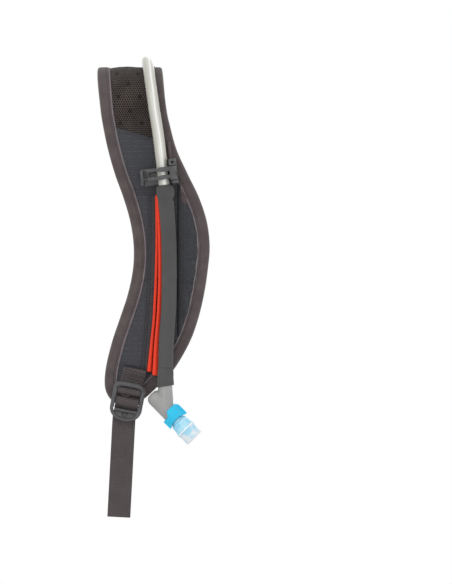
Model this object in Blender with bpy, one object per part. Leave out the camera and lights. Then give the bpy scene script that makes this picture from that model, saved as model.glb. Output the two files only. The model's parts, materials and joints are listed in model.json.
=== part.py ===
"""Shoulder strap of a hydration pack, with a drinking tube that magnets return to the strap.

The strap hangs as it is worn. Its front faces -Y, it turns over the shoulder at the top, and its sewn end at
the yoke is at the origin, facing down. +X is to the right of somebody who looks at the front.
Places on the strap are (x, s, n): x across it, s along it from the yoke, and n out of its middle surface.
"""

import math

import bmesh
import bpy
import numpy as np
from mathutils import Matrix, Vector

MM = 0.001
GAP = 0.3 * MM  # left between pieces that touch

# The strap's run: a rear leg up from the yoke, half a turn over the shoulder, and a straight front leg.
WRAP_RADIUS = 31 * MM
REAR_LENGTH = 45 * MM
FRONT_START = REAR_LENGTH + math.pi * WRAP_RADIUS

# Layers of the strap, measured out from its middle surface.
FOAM_HALF = 3.7 * MM
SKIN_OUT = 5.0 * MM
BINDING_OUT = 6.5 * MM
BINDING_THICKNESS = 1.0 * MM
BINDING_WIDTH = 9 * MM
CREST = REAR_LENGTH + WRAP_RADIUS + BINDING_OUT  # height of the strap's highest point

# The strap's two edges as (s, x) in millimetres, from the yoke to the point of the tip.
LEFT_EDGE = [
    (0, -29), (22, -35), (45, -41.5), (70, -44.5), (94, -45.6), (118, -44.8), (142, -42.5), (157, -40.2),
    (177, -36), (198, -30), (218, -22.8), (239, -16.8), (260, -13.9), (280, -14.6), (301, -18.9),
    (322, -25.8), (342, -32.5), (363, -37.6), (378, -38.9), (387, -36.8), (394, -31),
]
RIGHT_EDGE = [
    (0, 20), (22, 17), (45, 13.4), (70, 11.2), (94, 10.3), (118, 11.2), (142, 14), (157, 17.2), (177, 22.8),
    (198, 32.4), (218, 42), (239, 48.8), (260, 51.2), (280, 49.6), (301, 46.4), (322, 41.4), (342, 34.2),
    (363, 22.4), (373, 13.6), (382, 5), (391, -5),
]
TIP = (399, -19)
OUTLINE_STEP = 4 * MM

# Depths of the seams between the face panels, below the crest.
MESH_DEPTH = 59 * MM
UPPER_DEPTH = 111 * MM
MIDDLE_DEPTH = 185 * MM
LOWER_DEPTH = 259 * MM

# The drinking tube.
TUBE_RADIUS = 4.9 * MM
TUBE_BORE = 3.2 * MM
TUBE_ON_STRAP = 11.9 * MM  # its middle's distance from the strap's middle surface
TUBE_IN_SLEEVE = 16.8 * MM
# Depth below the crest, x and n of the tube's middle, from above the clip to the sleeve's end, in mm.
TUBE_LINE = [
    (67, 8.2, 16.8), (93, 11.2, 16.8), (103, 12.4, 16.8), (115, 13.5, 16.8), (150, 16.0, 16.8),
    (201, 16.2, 16.8), (236, 14.0, 16.8), (262, 13.3, 16.8), (276, 13.2, 16.8),
]
SLEEVE_TOP_DEPTH = 103 * MM
SLEEVE_END_DEPTH = 275 * MM
SLEEVE_HALF = 6.7 * MM
SLEEVE_FRONT = 6.3 * MM
SLEEVE_BACK = 8.2 * MM
SLEEVE_LINING = 5.2 * MM
SLEEVE_CHANNEL = 7.1 * MM
SLEEVE_SIDES = 16
# The sleeve bends at these depths, by these angles at full swing.
BEND_DEPTHS = [113 * MM, 144 * MM, 174 * MM, 204 * MM, 234 * MM]
BEND_ANGLES = [30, 15, 12, 10, 8]

# Where each keeper of the tube starts along the strap, and the tube's x there.
KEEPERS = [(10 * MM, -0.5 * MM), (62 * MM, -2.0 * MM)]
KEEPER_LENGTH = 14 * MM

PIPING_RADIUS = 1.4 * MM
PIPING_SIDE = 8.4 * MM  # from the tube's middle to the sleeve's piping
PIPING_N = 12.2 * MM
STRAP_PIPING_LINE = [
    (114, 5.6, 8.9), (150, 6.0, 8.9), (184, 5.3, 8.9), (201, 4.6, 8.9), (236, 1.7, 8.9), (262, -0.3, 8.9),
]

# The dock under the sleeve.
DOCK_OUT = 7.4 * MM
DOCK_HALF = 6.6 * MM
DOCK_END = 256 * MM
DOCK_LINE = [(114, 10.4, 0), (150, 11.0, 0), (201, 10.4, 0), (236, 7.2, 0), (256, 4.6, 0)]
MAGNET_SIZE = (8 * MM, 20 * MM, 1.2 * MM)
SLEEVE_MAGNET_SIZE = (5.4 * MM, 16 * MM, 1.2 * MM)

# The slider: x across, z up along the tube, n out from the strap, about the tube's middle at this depth.
SLIDER_DEPTH = 93 * MM
SLIDER_LEAN = 6.6  # degrees, as the tube runs there
ARMS = ((1.0 * MM, 5.8 * MM), (-6.1 * MM, -2.5 * MM))  # the bottom and top of each of the gate's arms
ARM_OUT = (5.3 * MM, 7.5 * MM)  # the arms' back and front, in front of the tube's middle
GATE_LEFT = -18.6 * MM
BRACKET = (6.0 * MM, 12.4 * MM)  # the bracket's two sides
BRACKET_Z = (-9.3 * MM, 12.4 * MM)
BASE_BACK = 7.0 * MM
PIN_X = 9.2 * MM
PIN_OUT = 6.4 * MM
PIN_RADIUS = 1.1 * MM
RAIL_RADIUS = 1.4 * MM
RAIL_X = 7.9 * MM
RAIL_OUT = 8.4 * MM
RAIL_TOP = 27 * MM
RAIL_BOTTOM = -10.5 * MM

# The elbow and the valve lie in a plane that faces the viewer.
ELBOW_X = 13.2 * MM
ELBOW_DEPTH = 294 * MM
ELBOW_ANGLE = 45.6  # degrees below level
ARM_RADIUS = 5.75 * MM
BODY_RADIUS = 7.3 * MM
BODY_BACK = 17 * MM
BODY_FRONT = 12 * MM

# The ladder-lock buckle: across, up along it and out, about its middle.
BUCKLE_X = -19.6 * MM
BUCKLE_DEPTH = 289 * MM
BUCKLE_LEAN = 11  # degrees
BUCKLE_N = 12.5 * MM
BUCKLE_HALF = 13.85 * MM
BUCKLE_WINDOW = 10.4 * MM
ANCHOR_BAR = 9.5 * MM
ADJUST_BAR = 0.8 * MM
BAR_RADIUS = 1.5 * MM
ARCH_RADIUS = 1.6 * MM
THUMB_TOP = -6.8 * MM
WEBBING_WIDTH = 19.4 * MM
WEBBING_THICKNESS = 1.2 * MM
WEBBING_END_DEPTH = 388 * MM
HANG_LEAN = 3
ANCHOR_SLANT = 0.10  # how far the anchor webbing leans to the right, for each unit up
TAIL_OUT = -3.3  # the webbing's two strands behind the buckle, in millimetres out from its middle
LOAD_OUT = -4.9
HANG_START = -14 * MM  # along the buckle, where the webbing starts to hang
HANG_PIVOT = 4.1 * MM  # behind the buckle's middle, between the two strands

# The free lead of the tube behind the strap: (y, z) in millimetres, down from the yoke, round, and up again.
LEAD_ROUTE = [
    (12, 5.6), (12.4, -15), (14, -47), (12, -72), (1, -108), (-9, -132), (-11, -152), (-2, -172), (19, -181),
    (40, -172), (49, -152), (46, -130), (37, -105), (28, -74), (24.8, -47), (26, -20), (30, 2), (31, 20),
]
TIE_HEIGHT = -47 * MM
PLUG_START = (31 * MM, 20.3 * MM)

COLOURS = {
    "binding": (0.085, 0.068, 0.068),
    "mesh": (0.055, 0.050, 0.047),
    "ripstop": (0.055, 0.058, 0.068),
    "foam": (0.10, 0.10, 0.10),
    "red": (0.85, 0.045, 0.015),
    "steel": (0.45, 0.45, 0.46),
    "tube": (0.60, 0.60, 0.55),
    "sleeve": (0.075, 0.075, 0.075),
    "hard": (0.070, 0.070, 0.074),
    "webbing": (0.090, 0.072, 0.078),
    "elbow": (0.30, 0.30, 0.29),
    "blue": (0.0, 0.50, 0.80),
    "silicone": (0.62, 0.80, 0.88),
    "rubber": (0.03, 0.03, 0.03),
}
METALS = {"steel"}
SMOOTH_ANGLE = math.radians(40)


# Names, materials and meshes ----------------------------------------------------------------------


def clear_scene():
    for item in list(bpy.data.objects):
        bpy.data.objects.remove(item)


def material_for(name, colour):
    material = bpy.data.materials.new(name)
    material.use_nodes = True
    shader = material.node_tree.nodes["Principled BSDF"]
    shader.inputs["Base Color"].default_value = (*COLOURS[colour], 1)
    shader.inputs["Roughness"].default_value = 0.3 if colour in METALS else 0.7
    shader.inputs["Metallic"].default_value = 1.0 if colour in METALS else 0.0
    return material


def finish_mesh(name, made, colour, smooth=True):
    """A new object from a bmesh, with its faces turned outwards."""
    bmesh.ops.recalc_face_normals(made, faces=made.faces)
    mesh = bpy.data.meshes.new(name)
    made.to_mesh(mesh)
    made.free()
    if smooth:
        mesh.shade_smooth()
        mesh.set_sharp_from_angle(angle=SMOOTH_ANGLE)
    mesh.materials.append(material_for(name, colour))
    piece = bpy.data.objects.new(name, mesh)
    bpy.context.collection.objects.link(piece)
    return piece


def loft(name, loops, colour, holes=None, smooth=True):
    """A solid through closed loops of points, with flat ends, and with a bore through the loops in holes."""
    made = bmesh.new()
    outer = [[made.verts.new(point) for point in loop] for loop in loops]
    inner = [[made.verts.new(point) for point in loop] for loop in holes or []]
    count = len(loops[0])
    for rings in (outer, inner):
        for ring, after in zip(rings, rings[1:]):
            for k in range(count):
                made.faces.new((ring[k], ring[(k + 1) % count], after[(k + 1) % count], after[k]))
    for end in (0, -1):
        if not inner:
            made.faces.new(outer[end])
            continue
        for k in range(count):
            corners = (outer[end][k], outer[end][(k + 1) % count], inner[end][(k + 1) % count], inner[end][k])
            made.faces.new(corners)
    return finish_mesh(name, made, colour, smooth)


def turned(name, profile, colour, sides=20):
    """A piece turned about its own Z from a closed profile of (radius, height) that stays off the axis."""
    loops = []
    for k in range(sides):
        angle = 2 * math.pi * k / sides
        loops.append([Vector((r * math.cos(angle), r * math.sin(angle), z)) for r, z in profile])
    made = bmesh.new()
    rings = [[made.verts.new(point) for point in loop] for loop in loops]
    count = len(profile)
    for k in range(sides):
        ring, after = rings[k], rings[(k + 1) % sides]
        for m in range(count):
            made.faces.new((ring[m], ring[(m + 1) % count], after[(m + 1) % count], after[m]))
    return finish_mesh(name, made, colour)


def rod(name, radius, low, high, colour, sides=20, end_bevel=0.0):
    """A solid round bar along its own Z."""
    made = bmesh.new()
    place = Matrix.Translation((0, 0, (low + high) / 2))
    bmesh.ops.create_cone(
        made, cap_ends=True, segments=sides, radius1=radius, radius2=radius, depth=high - low, matrix=place
    )
    if end_bevel:
        rims = [edge for edge in made.edges if len({round(v.co.z, 6) for v in edge.verts}) == 1]
        bmesh.ops.bevel(made, geom=rims, offset=end_bevel, segments=2, affect="EDGES", profile=0.5)
    return finish_mesh(name, made, colour)


def block(name, low, high, colour, bevel=0.0):
    """A box between two corners, with its edges rounded by bevel."""
    made = bmesh.new()
    size = Vector(high) - Vector(low)
    place = Matrix.Translation((Vector(low) + Vector(high)) / 2) @ Matrix.Diagonal((*size, 1))
    bmesh.ops.create_cube(made, size=1, matrix=place)
    if bevel:
        bmesh.ops.bevel(made, geom=made.edges[:], offset=bevel, segments=1, affect="EDGES", profile=0.5)
    return finish_mesh(name, made, colour)


def combine(piece, other, operation):
    """Joins a helper shape to a piece, or cuts it away, and removes the helper."""
    modifier = piece.modifiers.new(operation.lower(), "BOOLEAN")
    modifier.operation = operation
    modifier.solver = "EXACT"
    modifier.object = other
    depsgraph = bpy.context.evaluated_depsgraph_get()
    result = bpy.data.meshes.new_from_object(piece.evaluated_get(depsgraph))
    piece.modifiers.clear()
    piece.data = result
    bpy.data.objects.remove(other)


def joined(piece, others):
    for other in others:
        combine(piece, other, "UNION")
    return piece


def cut(piece, others):
    for other in others:
        combine(piece, other, "DIFFERENCE")
    return piece


def placed(piece, matrix):
    """Moves a piece's mesh by a matrix, so that it lies in the world."""
    piece.data.transform(matrix)
    return piece


def smooth_line(points, spacing):
    """A curve through the points, as Catmull and Rom draw it, at even spacing."""
    known = np.array(points, float)
    known = np.vstack([2 * known[0] - known[1], known, 2 * known[-1] - known[-2]])
    drawn = []
    for k in range(1, len(known) - 2):
        before, here, there, after = known[k - 1 : k + 3]
        for t in np.linspace(0, 1, 16, endpoint=False):
            drawn.append(
                0.5
                * (
                    2 * here
                    + (there - before) * t
                    + (2 * before - 5 * here + 4 * there - after) * t**2
                    + (3 * here - before - 3 * there + after) * t**3
                )
            )
    drawn.append(known[-2])
    drawn = np.array(drawn)
    run = np.concatenate([[0], np.cumsum(np.linalg.norm(np.diff(drawn, axis=0), axis=1))])
    count = max(2, int(round(run[-1] / spacing)) + 1)
    wanted = np.linspace(0, run[-1], count)
    return np.column_stack([np.interp(wanted, run, drawn[:, k]) for k in range(drawn.shape[1])])


def hose(name, points, radius, colour, resolution=2):
    """A round tube along points, as a curve with filled ends."""
    curve = bpy.data.curves.new(name, "CURVE")
    curve.dimensions = "3D"
    curve.bevel_depth = radius
    curve.bevel_resolution = resolution
    curve.use_fill_caps = True
    spline = curve.splines.new("POLY")
    spline.points.add(len(points) - 1)
    for place, point in zip(spline.points, points):
        place.co = (*point, 1)
    curve.materials.append(material_for(name, colour))
    piece = bpy.data.objects.new(name, curve)
    bpy.context.collection.objects.link(piece)
    return piece


# Places on the strap ------------------------------------------------------------------------------


def strap_normal(s):
    """The way out of the strap at s: back on the rear leg, up at the crest, forward on the front leg."""
    turn = min(max((s - REAR_LENGTH) / WRAP_RADIUS, 0), math.pi)
    return Vector((0, math.cos(turn), math.sin(turn)))


def on_strap(x, s, n):
    normal = strap_normal(s)
    along = min(s, REAR_LENGTH) - max(s - FRONT_START, 0)
    middle = Vector((x, -WRAP_RADIUS, along)) + normal * WRAP_RADIUS
    return middle + normal * float(n)


def at_depth(depth):
    """s on the front leg, at a depth below the crest."""
    return FRONT_START + REAR_LENGTH - CREST + depth


def front(x, depth, n):
    return on_strap(x, at_depth(depth), n)


def line_on_front(rows, spacing=8 * MM):
    """A smooth line on the front leg, from rows of (depth, x, n) in millimetres, as (x, s, n)."""
    line = smooth_line(np.array(rows) * MM, spacing)
    return [(x, at_depth(depth), n) for depth, x, n in line]


def outline():
    """The strap's outline as (x, s): down the left edge, round the tip and up the right edge."""
    rows = [*LEFT_EDGE, TIP, *reversed(RIGHT_EDGE)]
    return smooth_line([(x * MM, s * MM) for s, x in rows], OUTLINE_STEP)


def inward(line):
    """The unit direction into the strap at each point of its outline."""
    along = np.gradient(line, axis=0)
    along /= np.linalg.norm(along, axis=1)[:, None]
    return np.column_stack([along[:, 1], -along[:, 0]])


OUTLINE = outline()
INWARD = inward(OUTLINE)


def edges_inset(inset):
    """The two edges moved into the strap by inset, each as (s, x) with s rising to the inset tip."""
    line = OUTLINE + INWARD * inset
    tip = int(np.argmax(line[:, 1]))
    left, right = line[: tip + 1], line[tip:][::-1]
    return (left[:, 1], left[:, 0]), (right[:, 1], right[:, 0])


def strap_rows(inset, start, end, spacing=6 * MM):
    """(s, left x, right x) along the strap between two distances, inside its inset edges."""
    (left_s, left_x), (right_s, right_x) = edges_inset(inset)
    last = min(end, left_s[-1] - 0.8 * MM)
    count = max(2, int(round((last - start) / spacing)) + 1)
    rows = np.linspace(start, last, count)
    return [(s, np.interp(s, left_s, left_x), np.interp(s, right_s, right_x)) for s in rows]


def layer(name, rows, low, high, colour, columns=2):
    """A layer of the strap between two distances from its middle surface."""
    loops = []
    for s, left, right in rows:
        across = np.linspace(left, right, columns + 1)
        outside = [on_strap(x, s, high) for x in across]
        inside = [on_strap(x, s, low) for x in across[::-1]]
        loops.append(outside + inside)
    return loft(name, loops, colour)


def ribbon(name, line, half, low, high, colour):
    """A flat strip along a line of (x, s, n), from low to high above the line's n."""
    loops = []
    for x, s, n in line:
        corners = [(x - half, n + low), (x + half, n + low), (x + half, n + high), (x - half, n + high)]
        loops.append([on_strap(cx, s, cn) for cx, cn in corners])
    return loft(name, loops, colour)


def swept(name, line, section, colour, bore=None):
    """A solid with a section of (across, out) points along a line of (x, s, n)."""
    points = [on_strap(*place) for place in line]
    normals = [strap_normal(s) for _, s, _ in line]
    loops, holes = [], []
    for k, point in enumerate(points):
        along = (points[min(k + 1, len(points) - 1)] - points[max(k - 1, 0)]).normalized()
        out = (normals[k] - normals[k].dot(along) * along).normalized()
        across = out.cross(along)
        loops.append([point + across * u + out * v for u, v in section])
        holes.append([point + across * u + out * v for u, v in bore or []])
    return loft(name, loops, colour, holes if bore else None)


def circle(radius, sides=8):
    turns = [2 * math.pi * k / sides for k in range(sides)]
    return [(radius * math.cos(turn), radius * math.sin(turn)) for turn in turns]


def part_of(rows, start, end, spacing=8 * MM):
    """The stretch of a line of (depth, x, n) rows in millimetres between two depths, as (x, s, n)."""
    line = smooth_line(np.array(rows) * MM, 1 * MM)
    count = max(2, int(round((end - start) / spacing)) + 1)
    depths = np.linspace(start, end, count)
    across = np.interp(depths, line[:, 0], line[:, 1])
    out = np.interp(depths, line[:, 0], line[:, 2])
    return [(x, at_depth(depth), n) for depth, x, n in zip(depths, across, out)]


def tube_at(depth):
    """The tube's middle in the sleeve, at a depth."""
    return on_strap(*part_of(TUBE_LINE, depth, depth + MM)[0])


# The strap's layers -------------------------------------------------------------------------------


def make_strap():
    under_binding = BINDING_THICKNESS + 1.2 * MM
    whole = strap_rows(under_binding, 0, 1)
    layer("foam_core", whole, -FOAM_HALF, FOAM_HALF, "foam")
    layer("back_mesh_lining", whole, -SKIN_OUT, -FOAM_HALF - GAP, "mesh")
    seams = [0, at_depth(MESH_DEPTH), at_depth(UPPER_DEPTH), at_depth(MIDDLE_DEPTH), at_depth(LOWER_DEPTH), 1]
    panels = ["mesh_panel", "ripstop_upper", "ripstop_middle", "ripstop_lower", "tip_panel"]
    for name, start, end in zip(panels, seams, seams[1:]):
        rows = strap_rows(under_binding, start + (GAP if start else 0), end)
        layer(name, rows, FOAM_HALF + GAP, SKIN_OUT, "mesh" if name == "mesh_panel" else "ripstop")


def make_binding():
    """Tape folded over the strap's edge: a C in section, all the way round."""
    out, thick, width = BINDING_OUT, BINDING_THICKNESS, BINDING_WIDTH
    soft = 1.2 * MM
    section = [
        (width, out), (soft, out), (0, out - soft), (0, soft - out), (soft, -out), (width, -out),
        (width, thick - out), (thick, thick - out), (thick, out - thick), (width, out - thick),
    ]
    places = [*range(0, len(OUTLINE) - 1, 2), len(OUTLINE) - 1]
    loops = []
    for k in places:
        (x, s), (into_x, into_s) = OUTLINE[k], INWARD[k]
        loops.append([on_strap(x + u * into_x, s + u * into_s, n) for u, n in section])
    loft("edge_binding", loops, "binding")


def make_pocket():
    """The stretch pocket fills the strap from the tube to the right binding."""
    edge = BINDING_WIDTH + GAP
    rows = []
    for s, _, right in strap_rows(edge, at_depth(106 * MM), at_depth(228 * MM)):
        rows.append((s, 25.6 * MM, right))
    low = SKIN_OUT + GAP
    layer("stretch_pocket", rows, low, low + 2.4 * MM, "mesh", columns=3)
    line = [(24.1 * MM, s, 0) for s, _, _ in rows]
    ribbon("pocket_hem", line, 1.1 * MM, low, low + 1.7 * MM, "sleeve")


def make_rail():
    """A straight piping cord that the slider grips, proud of the binding and level with the tube."""
    place = slider_place()
    ends = [place @ Vector((RAIL_X, from_strap(RAIL_OUT), z)) for z in (RAIL_TOP, RAIL_BOTTOM)]
    line = [ends[0].lerp(ends[1], k / 6) for k in range(7)]
    hose("piping_rail", line, RAIL_RADIUS, "binding")


def flat_block(name, depth, size, extra, low, high, colour):
    """A block on the docking strip's line, of a magnet's width and length and some extra all round."""
    x, s, _ = part_of(DOCK_LINE, depth, depth + MM)[0]
    half, reach = size[0] / 2 + extra, size[1] / 2 + extra
    corners = [(x - half, s - reach), (x + half, s - reach), (x + half, s + reach), (x - half, s + reach)]
    ends = [[on_strap(*corner, n) for corner in corners] for n in (low, high)]
    return loft(name, ends, colour, smooth=False)


def make_dock():
    """The fabric strip that the sleeve lies on, with a magnet in each pocket of its back."""
    line = part_of(DOCK_LINE, 114 * MM, DOCK_END)
    low = SKIN_OUT + GAP
    dock = ribbon("dock_strip", line, DOCK_HALF, low, DOCK_OUT, "ripstop")
    back = low + GAP / 2
    front_face = back + MAGNET_SIZE[2]
    for k, (start, end) in enumerate(zip(BEND_DEPTHS[1:], [*BEND_DEPTHS[2:], DOCK_END])):
        middle = (start + end) / 2
        pocket = flat_block("pocket_cutter", middle, MAGNET_SIZE, GAP, low - MM, front_face + GAP, "foam")
        cut(dock, [pocket])
        flat_block(f"strap_magnet_{k + 1}", middle, MAGNET_SIZE, 0, back, front_face, "steel")
    swept("strap_piping", line_on_front(STRAP_PIPING_LINE), circle(PIPING_RADIUS), "red")


def make_keepers():
    """Elastic loops that hold the tube on the strap behind the shoulder."""
    clear = TUBE_RADIUS + 0.7 * MM
    thick = 1.0 * MM
    wide = clear + thick
    foot, feet_out = BINDING_OUT + GAP, 10 * MM
    turns = np.linspace(0, math.pi, 9)
    inner = [(clear * math.cos(turn), TUBE_ON_STRAP + clear * math.sin(turn)) for turn in turns]
    outer = [(wide * math.cos(turn), TUBE_ON_STRAP + wide * math.sin(turn)) for turn in turns]
    section = [(feet_out, foot), (feet_out, foot + thick), (wide, foot + thick), *outer]
    section += [(-wide, foot + thick), (-feet_out, foot + thick), (-feet_out, foot), (-clear, foot)]
    section += [*reversed(inner), (clear, foot)]
    for number, (start, x) in enumerate(KEEPERS):
        rows = np.linspace(start, start + KEEPER_LENGTH, 5)
        loops = [[on_strap(x + u, s, n) for u, n in section] for s in rows]
        loft(f"hose_keeper_{number + 1}", loops, "webbing")


# The slider and its gate --------------------------------------------------------------------------


def slider_place():
    """From the slider's own axes (across, back, up along the tube) to the world."""
    return Matrix.Translation(tube_at(SLIDER_DEPTH)) @ Matrix.Rotation(-math.radians(SLIDER_LEAN), 4, "Y")


def from_strap(n):
    """The slider's own y at a distance n from the strap's middle surface."""
    return TUBE_IN_SLEEVE - n


def make_slider():
    left, right = BRACKET
    low, high = BRACKET_Z
    back = from_strap(BASE_BACK)
    step = 0.1 * MM  # keeps the faces of joined shapes apart
    base = block("slider_base", (left, -3.6 * MM, low), (right, back, high), "hard", 0.7 * MM)
    far = GATE_LEFT - 1.2 * MM
    plate_high = (left + 2 * MM, back - step, 6 * MM)
    plate = block("plate", (far, back - 2.2 * MM, low + step), plate_high, "hard", 0.6 * MM)
    catch_high = (GATE_LEFT + 1.6 * MM, back - MM, 5 * MM)
    catch = block("catch", (far + step, 3.4 * MM, low + MM), catch_high, "hard", 0.5 * MM)
    ears = []
    for bottom, top in ((6.3 * MM, high - step), (-2.0 * MM, 0.5 * MM), (low + step, -6.6 * MM)):
        corner = (left + step, -PIN_OUT - 2.4 * MM, bottom)
        ears.append(block("ear", corner, (right - step, -3 * MM, top), "hard", 0.3 * MM))
    joined(base, [plate, catch, *ears])
    half = RAIL_RADIUS + 0.4 * MM
    groove_low = (RAIL_X - half, from_strap(10.2 * MM), low - MM)
    groove = block("groove", groove_low, (RAIL_X + half, back + MM, high + MM), "hard")
    bore = rod("bore", PIN_RADIUS + 0.1 * MM, low - 3 * MM, high + MM, "hard", 16)
    bore.data.transform(Matrix.Translation((PIN_X, -PIN_OUT, 0)))
    cut(base, [groove, bore])
    pin = rod("clip_pin", PIN_RADIUS, low - 0.2 * MM, high - 0.2 * MM, "steel", 16)
    pin.data.transform(Matrix.Translation((PIN_X, -PIN_OUT, 0)))
    return base, pin


def make_gate():
    """Two arms over the tube, a knuckle on the pin at one end and a hook bar at the other."""
    near, far = ARM_OUT
    step = 0.1 * MM
    bar_low, bar_high = ARMS[1][0] - step, ARMS[0][1] + step
    bar_corner = (GATE_LEFT + 2 * MM, -near + step, bar_high)
    gate = block("clip_gate", (GATE_LEFT, -far - step, bar_low), bar_corner, "hard", 0.5 * MM)
    arms = []
    for low, high in ARMS:
        arms.append(block("arm", (GATE_LEFT + MM, -far, low), (PIN_X, -near, high), "hard", 0.4 * MM))
        knuckle = rod("knuckle", 2.2 * MM, low - step, high + step, "hard", 20)
        knuckle.data.transform(Matrix.Translation((PIN_X, -PIN_OUT, 0)))
        arms.append(knuckle)
        hook_high = (GATE_LEFT + 1.8 * MM, 2.9 * MM, high - step)
        hook = block("hook", (GATE_LEFT + step, -near - MM, low + step), hook_high, "hard", 0.4 * MM)
        arms.append(hook)
    joined(gate, arms)
    bore = rod("bore", PIN_RADIUS + 0.1 * MM, bar_low - MM, bar_high + MM, "hard", 16)
    bore.data.transform(Matrix.Translation((PIN_X, -PIN_OUT, 0)))
    return cut(gate, [bore])


# The tube, its sleeve and what is on them ---------------------------------------------------------


def half_gap(angle):
    """Half of the room that two lengths need at a bend of this many degrees."""
    return SLEEVE_HALF * math.tan(math.radians(angle) / 2) + 0.35 * MM


def sleeve_sections():
    """The knitted sleeve's outside, and the inside with a flat channel for the magnets."""
    outside, inside = [], []
    for k in range(SLEEVE_SIDES):
        turn = 2 * math.pi * k / SLEEVE_SIDES
        across, out = math.cos(turn), math.sin(turn)
        if out >= 0:
            outside.append((SLEEVE_HALF * across, SLEEVE_FRONT * out))
            inside.append((SLEEVE_LINING * across, SLEEVE_LINING * out))
            continue
        across, out = math.copysign(abs(across) ** 0.6, across), -(abs(out) ** 0.6)
        outside.append((SLEEVE_HALF * across, SLEEVE_BACK * out))
        inside.append((SLEEVE_LINING * across, SLEEVE_CHANNEL * out))
    return outside, inside


def make_sleeve_top():
    outside, inside = sleeve_sections()
    line = part_of(TUBE_LINE, SLEEVE_TOP_DEPTH, BEND_DEPTHS[0] - half_gap(BEND_ANGLES[0]), 4 * MM)
    return swept("sleeve_top", line, outside, "sleeve", inside)


def make_length(number):
    """One length of sleeve between two bends, with its tube, piping and magnet."""
    outside, inside = sleeve_sections()
    start = BEND_DEPTHS[number] + half_gap(BEND_ANGLES[number])
    last = number + 1 == len(BEND_DEPTHS)
    end = SLEEVE_END_DEPTH if last else BEND_DEPTHS[number + 1] - half_gap(BEND_ANGLES[number + 1])
    name = number + 1
    line = part_of(TUBE_LINE, start, end)
    pieces = [swept(f"sleeve_{name}", line, outside, "sleeve", inside)]
    pieces.append(swept(f"tube_{name}", line, circle(TUBE_RADIUS, 12), "tube", circle(TUBE_BORE, 12)))
    stop = min(end, 266 * MM)
    edge = [(x - PIPING_SIDE, s, PIPING_N) for x, s, _ in part_of(TUBE_LINE, start, stop)]
    pieces.append(swept(f"sleeve_piping_{name}", edge, circle(PIPING_RADIUS), "red"))
    if number:
        width, length, thick = SLEEVE_MAGNET_SIZE
        middle = (BEND_DEPTHS[number] + min(end, DOCK_END)) / 2
        spot = part_of(TUBE_LINE, middle - length / 2, middle + length / 2, length)
        low = -TUBE_RADIUS - 0.3 * MM - thick
        section = [(-width / 2, low), (width / 2, low), (width / 2, low + thick), (-width / 2, low + thick)]
        pieces.append(swept(f"sleeve_magnet_{number}", spot, section, "steel"))
    return pieces


def make_tube_run():
    """The tube from the sleeve's first bend, up through the gate, over the shoulder and down to the yoke."""
    start = BEND_DEPTHS[0] - half_gap(BEND_ANGLES[0])
    rows = [
        (-0.2, 6, TUBE_ON_STRAP / MM), (-0.9, 30, TUBE_ON_STRAP / MM), (-1.8, 60, TUBE_ON_STRAP / MM),
        (-2.6, 94, TUBE_ON_STRAP / MM), (-0.4, 120, 12.2), (3.6, 142, 13.6), (7.0, 163, 16.2),
    ]
    points = [(x * MM, s * MM, n * MM) for x, s, n in rows]
    points += part_of(TUBE_LINE, 72 * MM, start, 10 * MM)
    line = smooth_line(points, 7 * MM)
    return hose("tube_strap_run", [on_strap(*place) for place in line], TUBE_RADIUS, "tube")


# The elbow and the bite valve ---------------------------------------------------------------------


def make_oring(name, radius, height, thickness):
    """A rubber ring about its own Z."""
    section = [(radius + u, height + v) for u, v in circle(thickness, 6)]
    return turned(name, section, "rubber")


def valve_place():
    """From the valve's own Z, out of its mouth, to the world, about where the elbow's two arms cross."""
    centre = front(ELBOW_X, ELBOW_DEPTH, TUBE_IN_SLEEVE)
    return Matrix.Translation(centre) @ Matrix.Rotation(math.radians(90 + ELBOW_ANGLE), 4, "Y")


def make_elbow():
    place = valve_place()
    body = rod("elbow_body", BODY_RADIUS, -BODY_BACK, 2.8 * MM, "elbow", 20, 3.2 * MM)
    neck = rod("neck", BODY_RADIUS - 0.9 * MM, 0, BODY_FRONT, "elbow", 20)
    joined(body, [neck])
    placed(body, place)
    top = front(ELBOW_X, SLEEVE_END_DEPTH + GAP, TUBE_IN_SLEEVE)
    drop = ELBOW_DEPTH - SLEEVE_END_DEPTH
    arm = rod("arm", ARM_RADIUS, 0, drop, "elbow", 20)
    placed(arm, Matrix.Translation(top + Vector((0, 0, -drop))))
    barb_profile = [(1.8, -4), (2.5, -4), (2.5, 6), (2.8, 6), (2.2, 9), (1.8, 9)]
    barb = turned("barb", [(r * MM, z * MM) for r, z in barb_profile], "elbow", 16)
    placed(barb, Matrix.Translation(tube_at(SLEEVE_END_DEPTH - MM)))
    joined(body, [arm, barb])
    water = rod("water", 2.2 * MM, -2 * MM, BODY_FRONT + MM, "elbow", 16)
    placed(water, place)
    feed = rod("feed", 2.0 * MM, 0, drop + 4 * MM, "elbow", 16)
    placed(feed, Matrix.Translation(top + Vector((0, 0, -drop))))
    low, high = 7.4 * MM, 9.2 * MM
    rest, wide = BODY_RADIUS - 2.0 * MM, BODY_RADIUS + MM
    groove = turned("groove", [(rest, low), (wide, low), (wide, high), (rest, high)], "elbow")
    placed(groove, place)
    cut(body, [water, feed, groove])
    seal = placed(make_oring("elbow_oring", rest + 0.75 * MM, (low + high) / 2, 0.6 * MM), place)
    return [body, seal]


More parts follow.
